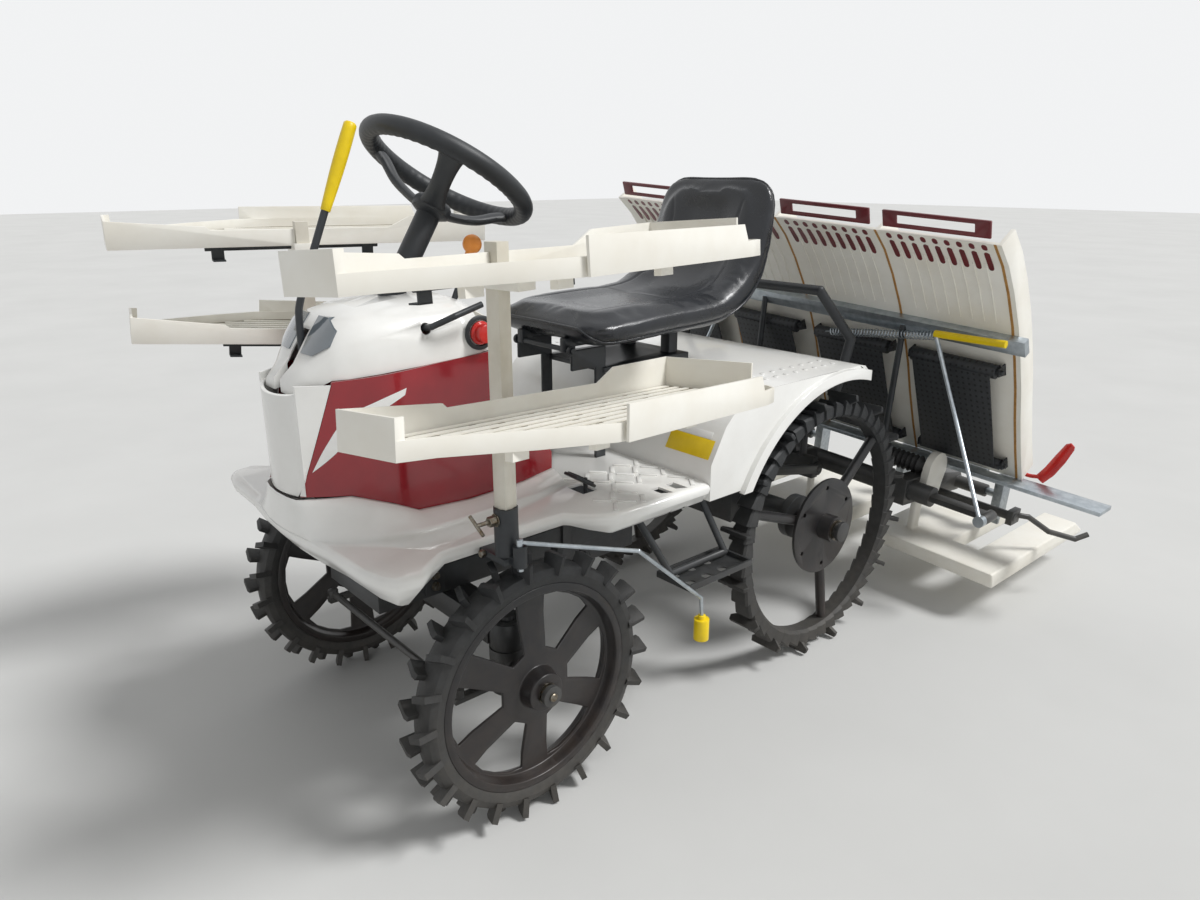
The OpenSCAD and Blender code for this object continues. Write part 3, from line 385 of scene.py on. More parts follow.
# The tread bars lie in a herringbone, and leave out the pedal slot, the drain holes and the rim.
floor_top = 582
tread_size = (40, 10, 4.4)
tread_turn = 40
spots = []
for side in (-1, 1):
    for row in range(7):
        for col in range(5):
            x = 192 + 44 * col - 8 * (row % 2)
            y = 224 + 37 * row
            in_slot = 190 < x < 290 and y < 285
            in_holes = x > 312 and 330 < y < 434
            in_rim = x > 368 and y < 250
            if (side > 0 and (in_slot or in_holes)) or in_rim:
                continue
            spots.append((at(side * x, y, floor_top + 0.8), 1 if (row + col) % 2 else -1))
repeated("floor_tread", block(Vector(), tread_size, 1.2), spots, tread_turn, white_shell,
         body_of["floor"])

deck_top = 765
stud = turned([(0, -0.5), (6.5, -0.5), (6, 1.6), (4.5, 2.4), (0, 2.4)], Vector(), Vector((0, 0, 1)), 14)
spots = [(at(side * x, y, deck_top), 0) for side in (-1, 1) for y in range(640, 1000, 38)
         for x in (300, 340)]
repeated("deck_studs", stud, spots, 0, white_shell, body_of["rear_deck"])

# Printed label film is a flat clean colour with little gloss.
label_yellow = finish("yellow label film, blank", "#F0CE1E", "#E4C216", 40, 0.35, 1.0, 0.03)
label_white = finish("white label film, blank", "#F4F4F2", "#ECECEA", 40, 0.35, 1.0, 0.03)
slope_run = 44
slope_rise = 78
slope = Matrix.Rotation(math.atan2(slope_rise, slope_run), 3, "X")
slope_place = at(322, 484.8, 650.5)
slope_up = Vector((0, slope_run, slope_rise)).normalized()
solid("deck_label_low", [block(slope_place, (130, 44, 0.8), 0.3, slope)], label_yellow,
      body_of["rear_deck"])
solid("deck_label_high", [block(slope_place + slope_up * 0.031, (104, 16, 0.8), 0.3, slope)],
      label_white, body_of["rear_deck"])

# Hood
# A white nose and a white top close over two deep red side panels, all moulded plastic on hidden
# clips. The nose wraps round to the red panels, and each red side has a white film slash.

rounded("nose_cover", 1.5, white_shell, degrees=40)
rounded("top_cover", 0, white_shell, degrees=48)
# Gloss moulded red is a deep colour under a clear skin.
red_shell = finish("glossy red moulded plastic", "#9A1622", "#86131E", 160, 0.2, 2.2, 0.04, coat=0.6)
rounded("side_panel_left", 0, red_shell, degrees=40)
rounded("side_panel_right", 0, red_shell, degrees=40)
# Vinyl film is a flatter white than the moulding beside it.
slash_white = finish("white vinyl film", "#F2F2F0", "#E8E8E6", 60, 0.3, 2.0, 0.03, coat=0.3)
slash_top = [(-278, 698), (-254, 748), (-218, 800), (-166, 824), (-108, 842)]
slash_low = [(-278, 698), (-240, 732), (-196, 782), (-156, 806), (-112, 829)]


def curve_through(points, steps):
    """Points along a smooth line through the given ones."""
    pts = [Vector(p) for p in points]
    out = []
    for i in range(len(pts) - 1):
        a, b, c, d = pts[max(i - 1, 0)], pts[i], pts[i + 1], pts[min(i + 2, len(pts) - 1)]
        for k in range(steps):
            t = k / steps
            out.append(0.5 * (2 * b + (c - a) * t + (2 * a - 5 * b + 4 * c - d) * t ** 2
                              + (3 * b - a - 3 * c + d) * t ** 3))
    return out + [pts[-1]]


def hood_side(y):
    """Half the hood's width at a place along it: full behind, drawn in toward the nose."""
    full, narrowing, start, length = 152, 82, -100, 205
    return full - narrowing * ((start - y) / length) ** 2 if y < start else full


def slash(side, steps=8, rise=0.9):
    """A thin film between two smooth edges, laid on the curve of the hood's side."""
    def build(bm):
        edges = [curve_through([(side, y, z) for y, z in line], steps) for line in (slash_top, slash_low)]
        rows = []
        for t in (0.02, 0.25, 0.5, 0.75, 0.98):
            for lift in ((0.35, rise) if t in (0.02, 0.98) else (rise,)):
                rows.append([bm.verts.new(at(side * (hood_side(y) + lift), y, z)) for y, z in
                             [(a[1] + (b[1] - a[1]) * t, a[2] + (b[2] - a[2]) * t - 0.4 * (t - 0.5))
                              for a, b in zip(*edges)]])
        for low, high in zip(rows, rows[1:] + rows[:1]):
            for k in range(len(low) - 1):
                bm.faces.new((low[k], low[k + 1], high[k + 1], high[k]))
        for k in (0, -1):
            bm.faces.new([row[k] for row in rows])
        bmesh.ops.recalc_face_normals(bm, faces=bm.faces)
    return build


def flank(side, thick=4, step=4.1):
    """The white side of the nose, between its front and the red panel's sloping edge."""
    def build(bm):
        rows = []
        for z in range(652, 861, 16):
            # The seam leans back 63 mm over the panel's 216 mm.
            seam_y = -298 + (z - 650) * 63 / 216
            line = [-292 + (seam_y + 291) * k / 4 for k in range(5)]
            outer = [bm.verts.new(at(side * (hood_side(y) + 0.1 + step * (1 - k / 4)), y, z))
                     for k, y in enumerate(line)]
            inner = [bm.verts.new(at(side * (hood_side(y) - thick), y, z)) for y in reversed(line)]
            rows.append(outer + inner)
        skinned(bm, rows)
    return build


for side, name in ((1, "left"), (-1, "right")):
    solid("slash_" + name, [slash(side)], slash_white, body_of["side_panel_left"])
    solid("nose_flank_" + name, [flank(side)], white_shell, body_of["nose_cover"])

# Steering column, guard hoop, lever guide and kick panel
# Black parts round the driver's knees: a moulded column shroud, a bent steel tube hoop, a slotted
# plate for the lever, and a thin panel that closes the hood toward the driver.

# Textured black moulding scatters light, so it looks soft and even.
dark_plastic = finish("matt black moulded plastic", "#1F2225", "#292C2F", 40, 0.45, 0.7, 0.25)
rounded("steering_column", 1.0, dark_plastic)
rounded("guard_hoop", 0, dark_plastic, degrees=40)
rounded("lever_guide", 1.0, dark_plastic)
back_line = [(92, 886), (98, 830), (102, 793), (108, 780), (160, 718), (220, 648), (228, 634), (227, 603)]


def hood_back(bm, thick=4, crown=7, count=8):
    """The kick panel between the red sides, a thin sheet crowned across and bent down to the floor."""
    rows = []
    for i, (y, z) in enumerate(back_line):
        ahead = back_line[min(i + 1, len(back_line) - 1)]
        behind = back_line[max(i - 1, 0)]
        way = Vector((0, ahead[0] - behind[0], ahead[1] - behind[1])).normalized()
        out = Vector((0, -way.z, way.y))
        wide = 144 if y < 150 else 144 - (y - 150) * 0.08
        row = []
        for layer in (0, 1):
            for k in range(count + 1):
                x = wide * (2 * k / count - 1) * (1 - 2 * layer)
                lift = crown * (1 - (x / wide) ** 2) - layer * thick
                row.append(bm.verts.new(at(x, y + out.y * lift, z + out.z * lift)))
        rows.append(row)
    skinned(bm, rows)


solid("hood_back", [hood_back], dark_plastic, body_of["floor"], 50)

# Hand wheel
# A steel ring under thick moulded plastic, with finger ridges inside and below. Three spokes run
# down to a hub with a round cap, held on the column by one nut.

column_lean = math.radians(32)
column_way = Vector((0, math.sin(column_lean), math.cos(column_lean)))
column_side = Vector((1, 0, 0))
column_back = column_way.cross(column_side)
wheel_base = at(0, -58, 972) + column_way * 0.2015
rim_radius = 166
grip_radius = 19


def on_wheel(radius, degrees, height):
    """A place by the hand wheel, from its own centre and plane."""
    turn = math.radians(degrees)
    flat = column_side * math.cos(turn) + column_back * math.sin(turn)
    return wheel_base + flat * radius / 1000 + column_way * height / 1000


def ridged_rim(bm, around=216, across=20):
    """The grip: a ring whose inner and under sides carry finger ridges."""
    rings = []
    for i in range(around):
        turn = 360 * i / around
        ridge = 0.5 + 0.5 * math.cos(math.radians(turn * 54))
        ring = []
        for k in range(across):
            a = 2 * math.pi * k / across
            under = max(0.0, -0.85 * math.cos(a) - 0.5 * math.sin(a))
            r = grip_radius - 1.3 * ridge * under ** 0.5
            ring.append(bm.verts.new(on_wheel(rim_radius + r * math.cos(a), turn, 92 + r * math.sin(a))))
        rings.append(ring)
    for low, high in zip(rings, rings[1:] + rings[:1]):
        for k in range(across):
            j = (k + 1) % across
            bm.faces.new((low[k], high[k], high[j], low[j]))
    bmesh.ops.recalc_face_normals(bm, faces=bm.faces)


def oval(points, sizes_mm, wide, count=14):
    """A bar of oval section swept through points, each with its half width and half thickness."""
    def build(bm):
        pts = [Vector(p) for p in points]
        rings = []
        for i, p in enumerate(pts):
            ahead = (pts[min(i + 1, len(pts) - 1)] - pts[max(i - 1, 0)]).normalized()
            side = (wide - ahead * wide.dot(ahead)).normalized()
            up = ahead.cross(side)
            w, h = sizes_mm[i]
            rings.append([bm.verts.new(p + side * math.cos(2 * math.pi * k / count) * w / 1000
                                       + up * math.sin(2 * math.pi * k / count) * h / 1000)
                          for k in range(count)])
        sleeve(bm, rings, rings[1:])
        bm.faces.new(rings[0][::-1])
        bm.faces.new(rings[-1])
    return build


parts = [ridged_rim]
spoke_line = ((14, 12), (50, 22), (100, 44), (140, 74), (164, 88))
for turn in (90, 210, 330):
    path = curve_through([on_wheel(r, turn, h) for r, h in spoke_line], 5)
    wide = column_way.cross((on_wheel(100, turn, 0) - wheel_base).normalized())
    sizes = [(32 - 13 * math.sin(math.pi * min(1, i / (len(path) - 1))), 8.5 + 3 * i / len(path))
             for i in range(len(path))]
    parts.append(oval(path, sizes, wide, 18))
parts.append(turned([(0, -2), (24, -2), (38, 6), (40, 14), (38.5, 24), (34, 30), (22, 33.5), (0, 35)],
                    wheel_base, column_way, 40))
parts.append(turned([(0, -60), (10, -60), (10, 0), (0, 0)], wheel_base, column_way, 20))
wheel_piece = solid("steering_wheel_skin", parts, dark_plastic, body_of["steering_wheel"],
                    40)
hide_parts("steering_wheel")

# Headlamp, red knob and change lever
# A smoked lens set in the top cover, a red moulded knob in a black ring on the cover's left side,
# and a bent black steel rod with an orange knob pushed on its end.

# A dark clear lens shows as grey glass with sharp reflections.
smoked_lens = finish("smoked clear lens", "#727A80", "#5A6268", 200, 0.05, 3.0, 0.02, coat=1.0)
rounded("headlamp", 0, smoked_lens, degrees=40)
# Polished moulded red catches small bright highlights.
red_grip = finish("glossy red moulded knob", "#D2241C", "#BE1E18", 30, 0.25, 1.0, 0.04, coat=0.4)
rounded("control_knob", 2.5, red_grip, segments=3)
way = Vector((1, 0, 0))
solid("knob_surround", [turned([(31, -1), (34, 0.4), (34, 3), (31, 5), (26, 5), (25, 1), (31, -1)],
                               at(152, 58, 926), way, 40)],
      dark_plastic, body_of["top_cover"])
# Moulded orange is soft and slightly dull from the hand.
orange_grip = finish("orange moulded knob", "#F39A40", "#E58A30", 25, 0.4, 1.0, 0.05)


def in_lever_knob(c):
    """True for the knob on the change lever's upper end."""
    return c.x < 110 and c.z > 1050


rounded("change_lever", 0, orange_grip, degrees=40, keep=in_lever_knob, suffix="knob")
rounded("change_lever", 0, black_paint, degrees=40, keep=lambda c: not in_lever_knob(c),
        suffix="rods")

# Front walking handle
# A bent steel rod in a pin at the hood's front, for walking ahead of the machine, with a thick
# yellow grip pushed over its upper end.

# Dipped plastic is an even warm yellow with a low gloss.
yellow_grip = finish("yellow dipped grip", "#F4D40C", "#E6C60A", 30, 0.36, 1.0, 0.06)


def tube(points, radius_mm, count=10, closed_ends=True):
    """A round rod or hose swept through points in metres."""
    def build(bm):
        pts = [Vector(p) for p in points]
        side = None
        rings = []
        for i, p in enumerate(pts):
            ahead = (pts[min(i + 1, len(pts) - 1)] - pts[max(i - 1, 0)]).normalized()
            if side is None:
                side = ahead.orthogonal().normalized()
            side = (side - ahead * side.dot(ahead)).normalized()
            up = ahead.cross(side)
            rings.append([bm.verts.new(p + (side * math.cos(2 * math.pi * k / count)
                                            + up * math.sin(2 * math.pi * k / count)) * radius_mm / 1000)
                          for k in range(count)])
        sleeve(bm, rings, rings[1:])
        if closed_ends:
            bm.faces.new(rings[0][::-1])
            bm.faces.new(rings[-1])
    return build


rod_line = [at(0, -236, 878), at(0, -236, 960), at(0, -226, 1010), at(0, -165, 1160)]
rod_parts = [tube(curve_through(rod_line, 5), 7, 16),
             tube([at(-12, -236, 878), at(12, -236, 878)], 12, 24),
             tube([at(-20, -236, 878), at(20, -236, 878)], 8, 20)]
rod = solid("walk_handle_rod", rod_parts, black_paint, body_of["walk_handle"], 50)
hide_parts("walk_handle")
grip_low = at(0, -166, 1156)
grip_high = at(0, -101, 1311)
grip_way = (grip_high - grip_low).normalized()
grip_length = (grip_high - grip_low).length * 1000
grip_steps = 16
profile = [(0, 0), (8.4, 0), (9.2, 1.5)]
for k in range(1, grip_steps + 1):
    swell = 3.6 * math.sin(math.pi * 0.72 * k / grip_steps)
    profile.append((9.2 + swell, 1.5 + (grip_length - 6) * k / grip_steps))
profile += [(9, grip_length - 1), (5, grip_length), (0, grip_length)]
grip = solid("walk_handle_grip", [turned(profile, grip_low, grip_way, 24)], yellow_grip,
             body_of["walk_handle"], 50)
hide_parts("walk_handle")

# Brake pedal
# A ribbed black pad for the driver's foot, on a bent round steel arm that comes up through a
# slot in the floor.

pedal_tilt = Matrix.Rotation(math.radians(-32), 3, "X")
pedal_place = at(241, 236, 604)
parts = [block(pedal_place, (44, 62, 7), 2.5, pedal_tilt)]
for y in (-22, -11, 0, 11, 22):
    rib_place = pedal_place + pedal_tilt @ Vector((0, 0.001 * y, 0.0045))
    parts.append(block(rib_place, (38, 4, 4), 1.5, pedal_tilt))
parts.append(tube([at(241, 250, 604), at(241, 252, 560), at(241, 236, 520)], 5))
solid("brake_pedal", parts, dark_plastic, body_of["floor"])

# Seat
# One foam pad and back under black vinyl, sewn along two lines, full at the rim and drawn in
# between them, with a welt round its edge. It tips on a pin and rests on two steel slides.

# Embossed vinyl is a deep black with a soft leathery shine.
seat_vinyl = finish("black moulded vinyl", "#15181D", "#1D2026", 60, 0.28, 0.7, 0.22, coat=0.15,
                    spread=0.05)
seat_half = 220
# Each station: y, z, thickness and share of the full width.
seat_line = [(316, 906, 20, 0.70), (322, 902, 44, 0.82), (334, 898, 62, 0.90), (365, 895, 72, 0.96),
             (450, 898, 78, 1), (560, 901, 78, 1), (660, 903, 78, 1), (740, 914, 84, 0.99),
             (800, 942, 90, 0.985), (846, 990, 84, 0.97),
             (874, 1052, 70, 0.95), (890, 1115, 60, 0.93), (899, 1160, 54, 0.9), (902, 1188, 46, 0.83),
             (903, 1205, 36, 0.72), (903, 1214, 24, 0.56), (903, 1217, 15, 0.44)]
welt_turn = math.radians(-35)


def seat_section(turns, shrink_mm=7):
    """Places round the seat's rounded section at each station, at the turns asked for."""
    centres = curve_through([(0, y, z) for y, z, t, w in seat_line], 3)
    shape = curve_through([(0, t, w * 100) for y, z, t, w in seat_line], 3)
    sections = []
    for i, c in enumerate(centres):
        ahead = (centres[min(i + 1, len(centres) - 1)] - centres[max(i - 1, 0)]).normalized()
        up = Vector((0, -ahead.z, ahead.y))
        half = max(2.0, shape[i].y / 2 - shrink_mm * 0.8)
        wide = seat_half * shape[i].z / 100 - shrink_mm
        section = []
        for a in turns:
            x = wide * math.copysign(abs(math.cos(a)) ** 0.45, math.cos(a))
            e = half * math.copysign(abs(math.sin(a)) ** 0.6, math.sin(a))
            section.append(at(x, c.y + up.y * e, c.z + up.z * e))
        sections.append(section)
    return sections


def seat_shell(bm, count=40):
    """The seat's form, a little smaller than the seat, that the stuffing then swells."""
    turns = [2 * math.pi * k / count for k in range(count)]
    rings = [[bm.verts.new(p) for p in section] for section in seat_section(turns)]
    sleeve(bm, rings, rings[1:])
    bm.faces.new(rings[0][::-1])
    bm.faces.new(rings[-1])
    bmesh.ops.recalc_face_normals(bm, faces=bm.faces)


def swollen(made, voxel_mm, pressure, cap_mm):
    """Remesh the form and let cloth pressure fill it, with no point moved further than the cap."""
    scene = bpy.context.scene
    remesh = made.modifiers.new("even_skin", "REMESH")
    remesh.mode = "VOXEL"
    remesh.voxel_size = voxel_mm / 1000
    graph = bpy.context.evaluated_depsgraph_get()
    even = bpy.data.meshes.new_from_object(made.evaluated_get(graph))
    made.modifiers.clear()
    made.data = even
    start = [v.co.copy() for v in even.vertices]
    cloth = made.modifiers.new("stuffing", "CLOTH")
    cloth.settings.use_pressure = True
    cloth.settings.uniform_pressure_force = pressure
    cloth.settings.effector_weights.gravity = 0.0
    last_frame = 20
    cloth.point_cache.frame_start = 1
    cloth.point_cache.frame_end = last_frame
    for frame_number in range(1, last_frame + 1):
        scene.frame_set(frame_number)
    graph = bpy.context.evaluated_depsgraph_get()
    filled = bpy.data.meshes.new_from_object(made.evaluated_get(graph))
    made.modifiers.clear()
    made.data = filled
    scene.frame_set(1)
    for v, old in zip(filled.vertices, start):
        move = v.co - old
        if move.length > cap_mm / 1000:
            v.co = old + move.normalized() * cap_mm / 1000
    smooth = made.modifiers.new("finer_skin", "SUBSURF")
    smooth.levels = 1
    smooth.render_levels = 1
    graph = bpy.context.evaluated_depsgraph_get()
    fine = bpy.data.meshes.new_from_object(made.evaluated_get(graph))
    made.modifiers.clear()
    made.data = fine


def eased(value, low, high):
    """0 under low, 1 over high, and a smooth rise between them."""
    t = min(1.0, max(0.0, (value - low) / (high - low)))
    return t * t * (3 - 2 * t)


def drawn_in(p):
    """How far the sewn centre, its seams and the soft creases lie under the rolled rim, in mm."""
    across = abs(p.x)
    fade = eased(p.y, 350, 470) * (1 - eased(p.z, 1120, 1185))
    seam = 128 - 26 * eased(p.z, 960, 1180) * (1 - eased(p.z, 1080, 1200))
    deep = 13 * fade * (1 - eased(across, seam - 70, seam + 26))
    deep += 3.4 * fade * math.exp(-((across - seam) / 3.4) ** 2)
    if across < seam:
        bend = p.y - 0.9 * (p.z - 930) - 742 + 0.0009 * p.x * p.x
        deep += 3.8 * math.exp(-(bend / 5.0) ** 2)
        fold = p.y - 655 + 0.0018 * p.x * p.x
        deep += 2.0 * math.exp(-(fold / 5.0) ** 2) * (1 - eased(p.z, 930, 960))
    return deep


mesh = bpy.data.meshes.new("seat_pad")
bm = bmesh.new()
seat_shell(bm)
bm.to_mesh(mesh)
bm.free()
seat_pad = piece("seat_pad", mesh, seat_vinyl, body_of["seat"], 60)
swollen(seat_pad, 7, 4.0, 9)
seat_pad.data.materials.clear()
seat_pad.data.materials.append(seat_vinyl)
normals = [v.normal.copy() for v in seat_pad.data.vertices]
for v, n in zip(seat_pad.data.vertices, normals):
    p = local(v.co)
    toward_driver = n.z * 0.6 - n.y * 0.8
    if toward_driver > 0.2:
        v.co = v.co - n * drawn_in(p) / 1000
shaded(seat_pad.data, 75)
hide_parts("seat")

skin = BVHTree.FromPolygons([v.co for v in seat_pad.data.vertices],
                            [f.vertices for f in seat_pad.data.polygons])
edges = seat_section([welt_turn, math.pi - welt_turn])
sewn = [right for left, right in reversed(edges)] + [left for left, right in edges]
sewn.append(sewn[0])
path = []
for a, b in zip(sewn, sewn[1:]):
    for k in range(4):
        place, normal = skin.find_nearest(a.lerp(b, k / 4))[:2]
        path.append(place + normal * 0.0008)
path.append(path[0])
solid("seat_welt", [tube(path, 3.2, 8, False)], seat_vinyl, body_of["seat"], 70)

parts = [tube([at(-108, 330, 846), at(108, 330, 846)], 6, 20)]
for side in (-1, 1):
    parts.append(block(at(side * 80, 337, 856), (20, 30, 32), 2))
    parts.append(block(at(side * 80, 500, 856), (16, 300, 9), 2))
solid("seat_slide", parts, black_paint, body_of["seat"])

# Seedling racks and steps
# Each rack is one ivory polypropylene moulding clipped to a powder-coated square post, which a
# T-bolt pinches in a black steel socket bolted to the rails. A steel step hangs behind it.

# Unpainted polypropylene is a waxy off-white, dusty where it is low.
cream_plastic = finish("ivory moulded polypropylene", "#F3F1E9", "#EBE7DC", 150, 0.4, 0.8, 0.14,
                       dust="#B8AB90", dust_top=0.5, dust_amount=0.3)
# Powder coat on the tube is greyer and faintly pebbled.
cream_paint = finish("ivory powder coat on tube", "#DCD8CC", "#CFC9BA", 90, 0.42, 1.0, 0.2)
# The same moulding, darker on the flat bed between the ribs: painted shade for the shadow that lies
# there.
bed_shade_plastic = finish("ivory moulding with painted shade between its ribs", "#8F8878", "#787161", 26, 0.6,
                        0.8, 0.2)
post_place = (384, -55)
# For each rack: height, beside the post, along it, turn, and the two tilts in degrees.
rack_seats = [(832, 42, 4, 13, -5.3, -3.2), (1066, -4, -11, 11, -0.7, -4.4)]
bed_height = 8


def rack_place(seat):
    """How a rack stands beside its post: height, place, turn about the post, and tilt both ways."""
    high, beside, along, yaw, tip, lean = seat
    turn = Matrix.Rotation(math.radians(lean), 4, "Y") @ Matrix.Rotation(math.radians(tip), 4, "X")
    return Matrix.Rotation(math.radians(yaw), 4, "Z") @ Matrix.Translation((beside, along, high)) @ turn


def on_rack(side, seat, x, y, z):
    """A place on a rack from its own outline's coordinates."""
    p = rack_place(seat) @ Vector((x, y, z))
    return at(side * (post_place[0] + p.x), post_place[1] + p.y, p.z)


def in_bed(c):
    """True for the flat bed of a rack, which shows between the raised ribs and is painted darker as
    shade.
    """
    for seat in rack_seats:
        p = rack_place(seat).inverted() @ Vector((abs(c.x) - post_place[0], c.y - post_place[1], c.z))
        if abs(p.z - bed_height) < 0.25 and 4 < p.x < 250 and -370 < p.y < 450:
            return True
    return False


def bolt(place, axis, across=13, height=7, washer=11):
    """Hexagon head on a washer, as loose parts for one piece."""
    return [turned([(0, 0), (washer, 0), (washer, 1.6), (0, 1.6)], place, axis, 20),
            hexagon(place + axis.normalized() * 0.0016, axis, across, height)]


for side in ("left", "right"):
    rounded("racks_" + side, 1.6, cream_plastic, keep=lambda c: not in_bed(c))
    # The flat bed between the raised ribs gets the darker ivory, which is painted shade.
    rounded("racks_" + side, 1.6, bed_shade_plastic, keep=in_bed, suffix="bed")
    rounded("rack_post_" + side, 2.5, cream_paint, segments=3)
    rounded("step_" + side, 1.2, black_paint)
    low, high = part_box("rack_post_" + side)
    way = 1 if low[0] + high[0] > 0 else -1
    out = Vector((way, 0, 0))
    front = Vector((0, -1, 0))
    parts = bolt(at(way * post_place[0], post_place[1] - 22, 640), front, 17, 14, 12)
    parts.append(tube([at(way * post_place[0], post_place[1] - 30, 640),
                       at(way * post_place[0], post_place[1] - 62, 640)], 4, 12))
    parts.append(tube([at(way * post_place[0] - 20, post_place[1] - 62, 652),
                       at(way * post_place[0] + 20, post_place[1] - 62, 628)], 3.4, 12))
    for z in (405, 430):
        parts += bolt(at(way * 120, post_place[1], z), out, 13, 8, 10)
    parts += bolt(at(way * (post_place[0] - 40), post_place[1] - 22, 564), front, 13, 8, 5.5)
    solid("rack_socket_bolts_" + side, parts, zinc_bolt, body_of["rack_bracket_" + side])


def rack_bar(side, seat, low, high):
    """A straight bar between two corners in the rack's own coordinates."""
    def build(bm):
        v = [bm.verts.new(on_rack(side, seat, x, y, z)) for z in (low[2], high[2])
             for x, y in ((low[0], low[1]), (high[0], low[1]), (high[0], high[1]), (low[0], high[1]))]
        for ring in ((0, 1, 2, 3), (4, 5, 6, 7), (0, 1, 5, 4), (1, 2, 6, 5), (2, 3, 7, 6), (3, 0, 4, 7)):
            bm.faces.new([v[k] for k in ring])
        bmesh.ops.recalc_face_normals(bm, faces=bm.faces)
    return build


# The ribs stand 2 mm over the bed, and the outer ones start where the rack's front is cut back.
rack_rib_pitch = 23.5
rack_rib_width = 10
for side, name in ((1, "left"), (-1, "right")):
    steel = []
    ivory = []
    for seat in rack_seats:
        for y in (-165, 165):
            steel.append(rack_bar(side, seat, (24, y - 13, -30), (28, y + 13, -0.3)))
            steel.append(rack_bar(side, seat, (4, y - 13, -31), (28, y + 13, -28)))
        steel.append(tube([on_rack(side, seat, 32, -190, -7), on_rack(side, seat, 32, 190, -7)], 5, 12))
        for x, y in ((170, -215), (212, -80), (222, 160)):
            ivory.append(rack_bar(side, seat, (x, y - 17, -15), (x + 14, y + 17, 1)))
        for n in range(10):
            x = 12 + rack_rib_pitch * n
            ahead = -355 + max(0, n - 4) * 47
            ivory.append(rack_bar(side, seat, (x, ahead, 7), (x + rack_rib_width, 436, 10)))
    solid("rack_latches_" + name, steel, black_paint, body_of["racks_" + name])
    solid("rack_ribs_" + name, ivory, cream_plastic, body_of["racks_" + name])

# Links, planting frame, cases, rotors, rail, belts, floats and markers
# Black welded tubes on two pairs of links carry the planting cases, a zinc-plated rail, the ivory
# tray and floats, and black rubber belts. Zinc rods with yellow ends mark the rows.

# Red-brown moulding for the grips and combs is smooth and darker than the hood.
brown_plastic = finish("red-brown moulded plastic", "#6E1C24", "#5C181E", 50, 0.36, 1.0, 0.1, coat=0.2)
# Fresh zinc plate is a pale metal with cloudy spangle.
zinc_plate = finish("bright zinc plate on steel", "#BCC3C8", "#A2AAB0", 22, 0.34, 1.2, 0.1, metal=1.0)
# Sand-cast aluminium is a light grainy metal with broad highlights.
cast_alloy = finish("cast aluminium", "#A9AFB3", "#90969B", 12, 0.45, 1.6, 0.4, metal=1.0)
# Belt rubber is dull and a little grey, with rows of round holes painted near black as shade.
belt_rubber = finish("black belt rubber", "#26282B", "#303336", 15, 0.55, 1.0, 0.3)
belt_tree = belt_rubber.node_tree
belt_xyz = add(belt_tree, "ShaderNodeSeparateXYZ", None,
               {0: add(belt_tree, "ShaderNodeTexCoord").outputs["Object"]})
belt_flat = add(belt_tree, "ShaderNodeCombineXYZ", None,
                {0: belt_xyz.outputs["X"], 1: belt_xyz.outputs["Z"]})
hole_pitch = 17
belt_dots = add(belt_tree, "ShaderNodeTexVoronoi", {"voronoi_dimensions": "2D"},
                {"Vector": belt_flat.outputs[0], "Scale": 1000 / hole_pitch, "Randomness": 0.0})
# Round dots a fifth of the pitch in radius are painted shade that stands for the holes, which are too
# small to cut.
belt_hole_shade = add(belt_tree, "ShaderNodeMath", {"operation": "LESS_THAN"},
                 {0: belt_dots.outputs["Distance"], 1: 0.2})
belt_shader = belt_tree.nodes["Principled BSDF"]
belt_shade_mix = add(belt_tree, "ShaderNodeMix", {"data_type": "RGBA"},
               {0: belt_hole_shade.outputs[0], 6: belt_shader.inputs["Base Color"].links[0].from_socket})
# The near-black of the dots is painted shade, the dark seen through each hole.
belt_shade_mix.inputs[7].default_value = linear("#060607")
belt_tree.links.new(belt_shade_mix.outputs[2], belt_shader.inputs["Base Color"])
roll_centre = 340
roll_turn = math.radians(3.5)


def on_unit(x, y, z):
    """A place on the planting unit, which is rolled about the hitch pin."""
    return at(x * math.cos(roll_turn) + (z - roll_centre) * math.sin(roll_turn), y,
              roll_centre - x * math.sin(roll_turn) + (z - roll_centre) * math.cos(roll_turn))


def level(c):
    """A place in mm with the unit's roll taken out."""
    return Vector((c.x * math.cos(roll_turn) - (c.z - roll_centre) * math.sin(roll_turn), c.y,
                   roll_centre + c.x * math.sin(roll_turn) + (c.z - roll_centre) * math.cos(roll_turn)))


for name in ("lower_link", "upper_link", "hitch", "planter_cases", "unit_hook"):
    rounded(name, 2.0, black_paint)
brace_foot = 770
rounded("planting_frame", 2.0, black_paint, keep=lambda c: level(c).z < brace_foot)
rounded("planting_frame", 2.0, zinc_plate, keep=lambda c: level(c).z >= brace_foot, suffix="brace")
for name, size in (("floats", 6.0), ("tray", 1.2), ("drive_cover", 5.0)):
    rounded(name, size, cream_plastic, segments=3)
rounded("guide_rail", 0.8, zinc_plate)
pipe_foot = 814


def in_bob(c):
    """True for the yellow bob that hangs from the end of a side marker's rod."""
    return c.z < 354.5 and abs(c.x) >= 480


for side in ("left", "right"):
    rounded("side_marker_" + side, 0.6, zinc_plate, keep=lambda c: not in_bob(c), suffix="rod")
    rounded("side_marker_" + side, 1.6, yellow_grip, keep=in_bob, suffix="bob")
    rounded("line_marker_" + side, 0, zinc_plate, keep=lambda c: level(c).z < pipe_foot, suffix="rod")
    rounded("line_marker_" + side, 0, yellow_grip, keep=lambda c: level(c).z >= pipe_foot,
            suffix="pipe")
    rounded("rotors_" + side, 2.5, cast_alloy)
rounded("tray_grips", 2.0, brown_plastic)
rounded("feed_belts", 1.0, belt_rubber)

# Shaft bellows and tail lever
# A folded rubber bellows keeps mud off the cross shaft. A curved lever dipped in red stands on a
# short rod at the frame's left end.

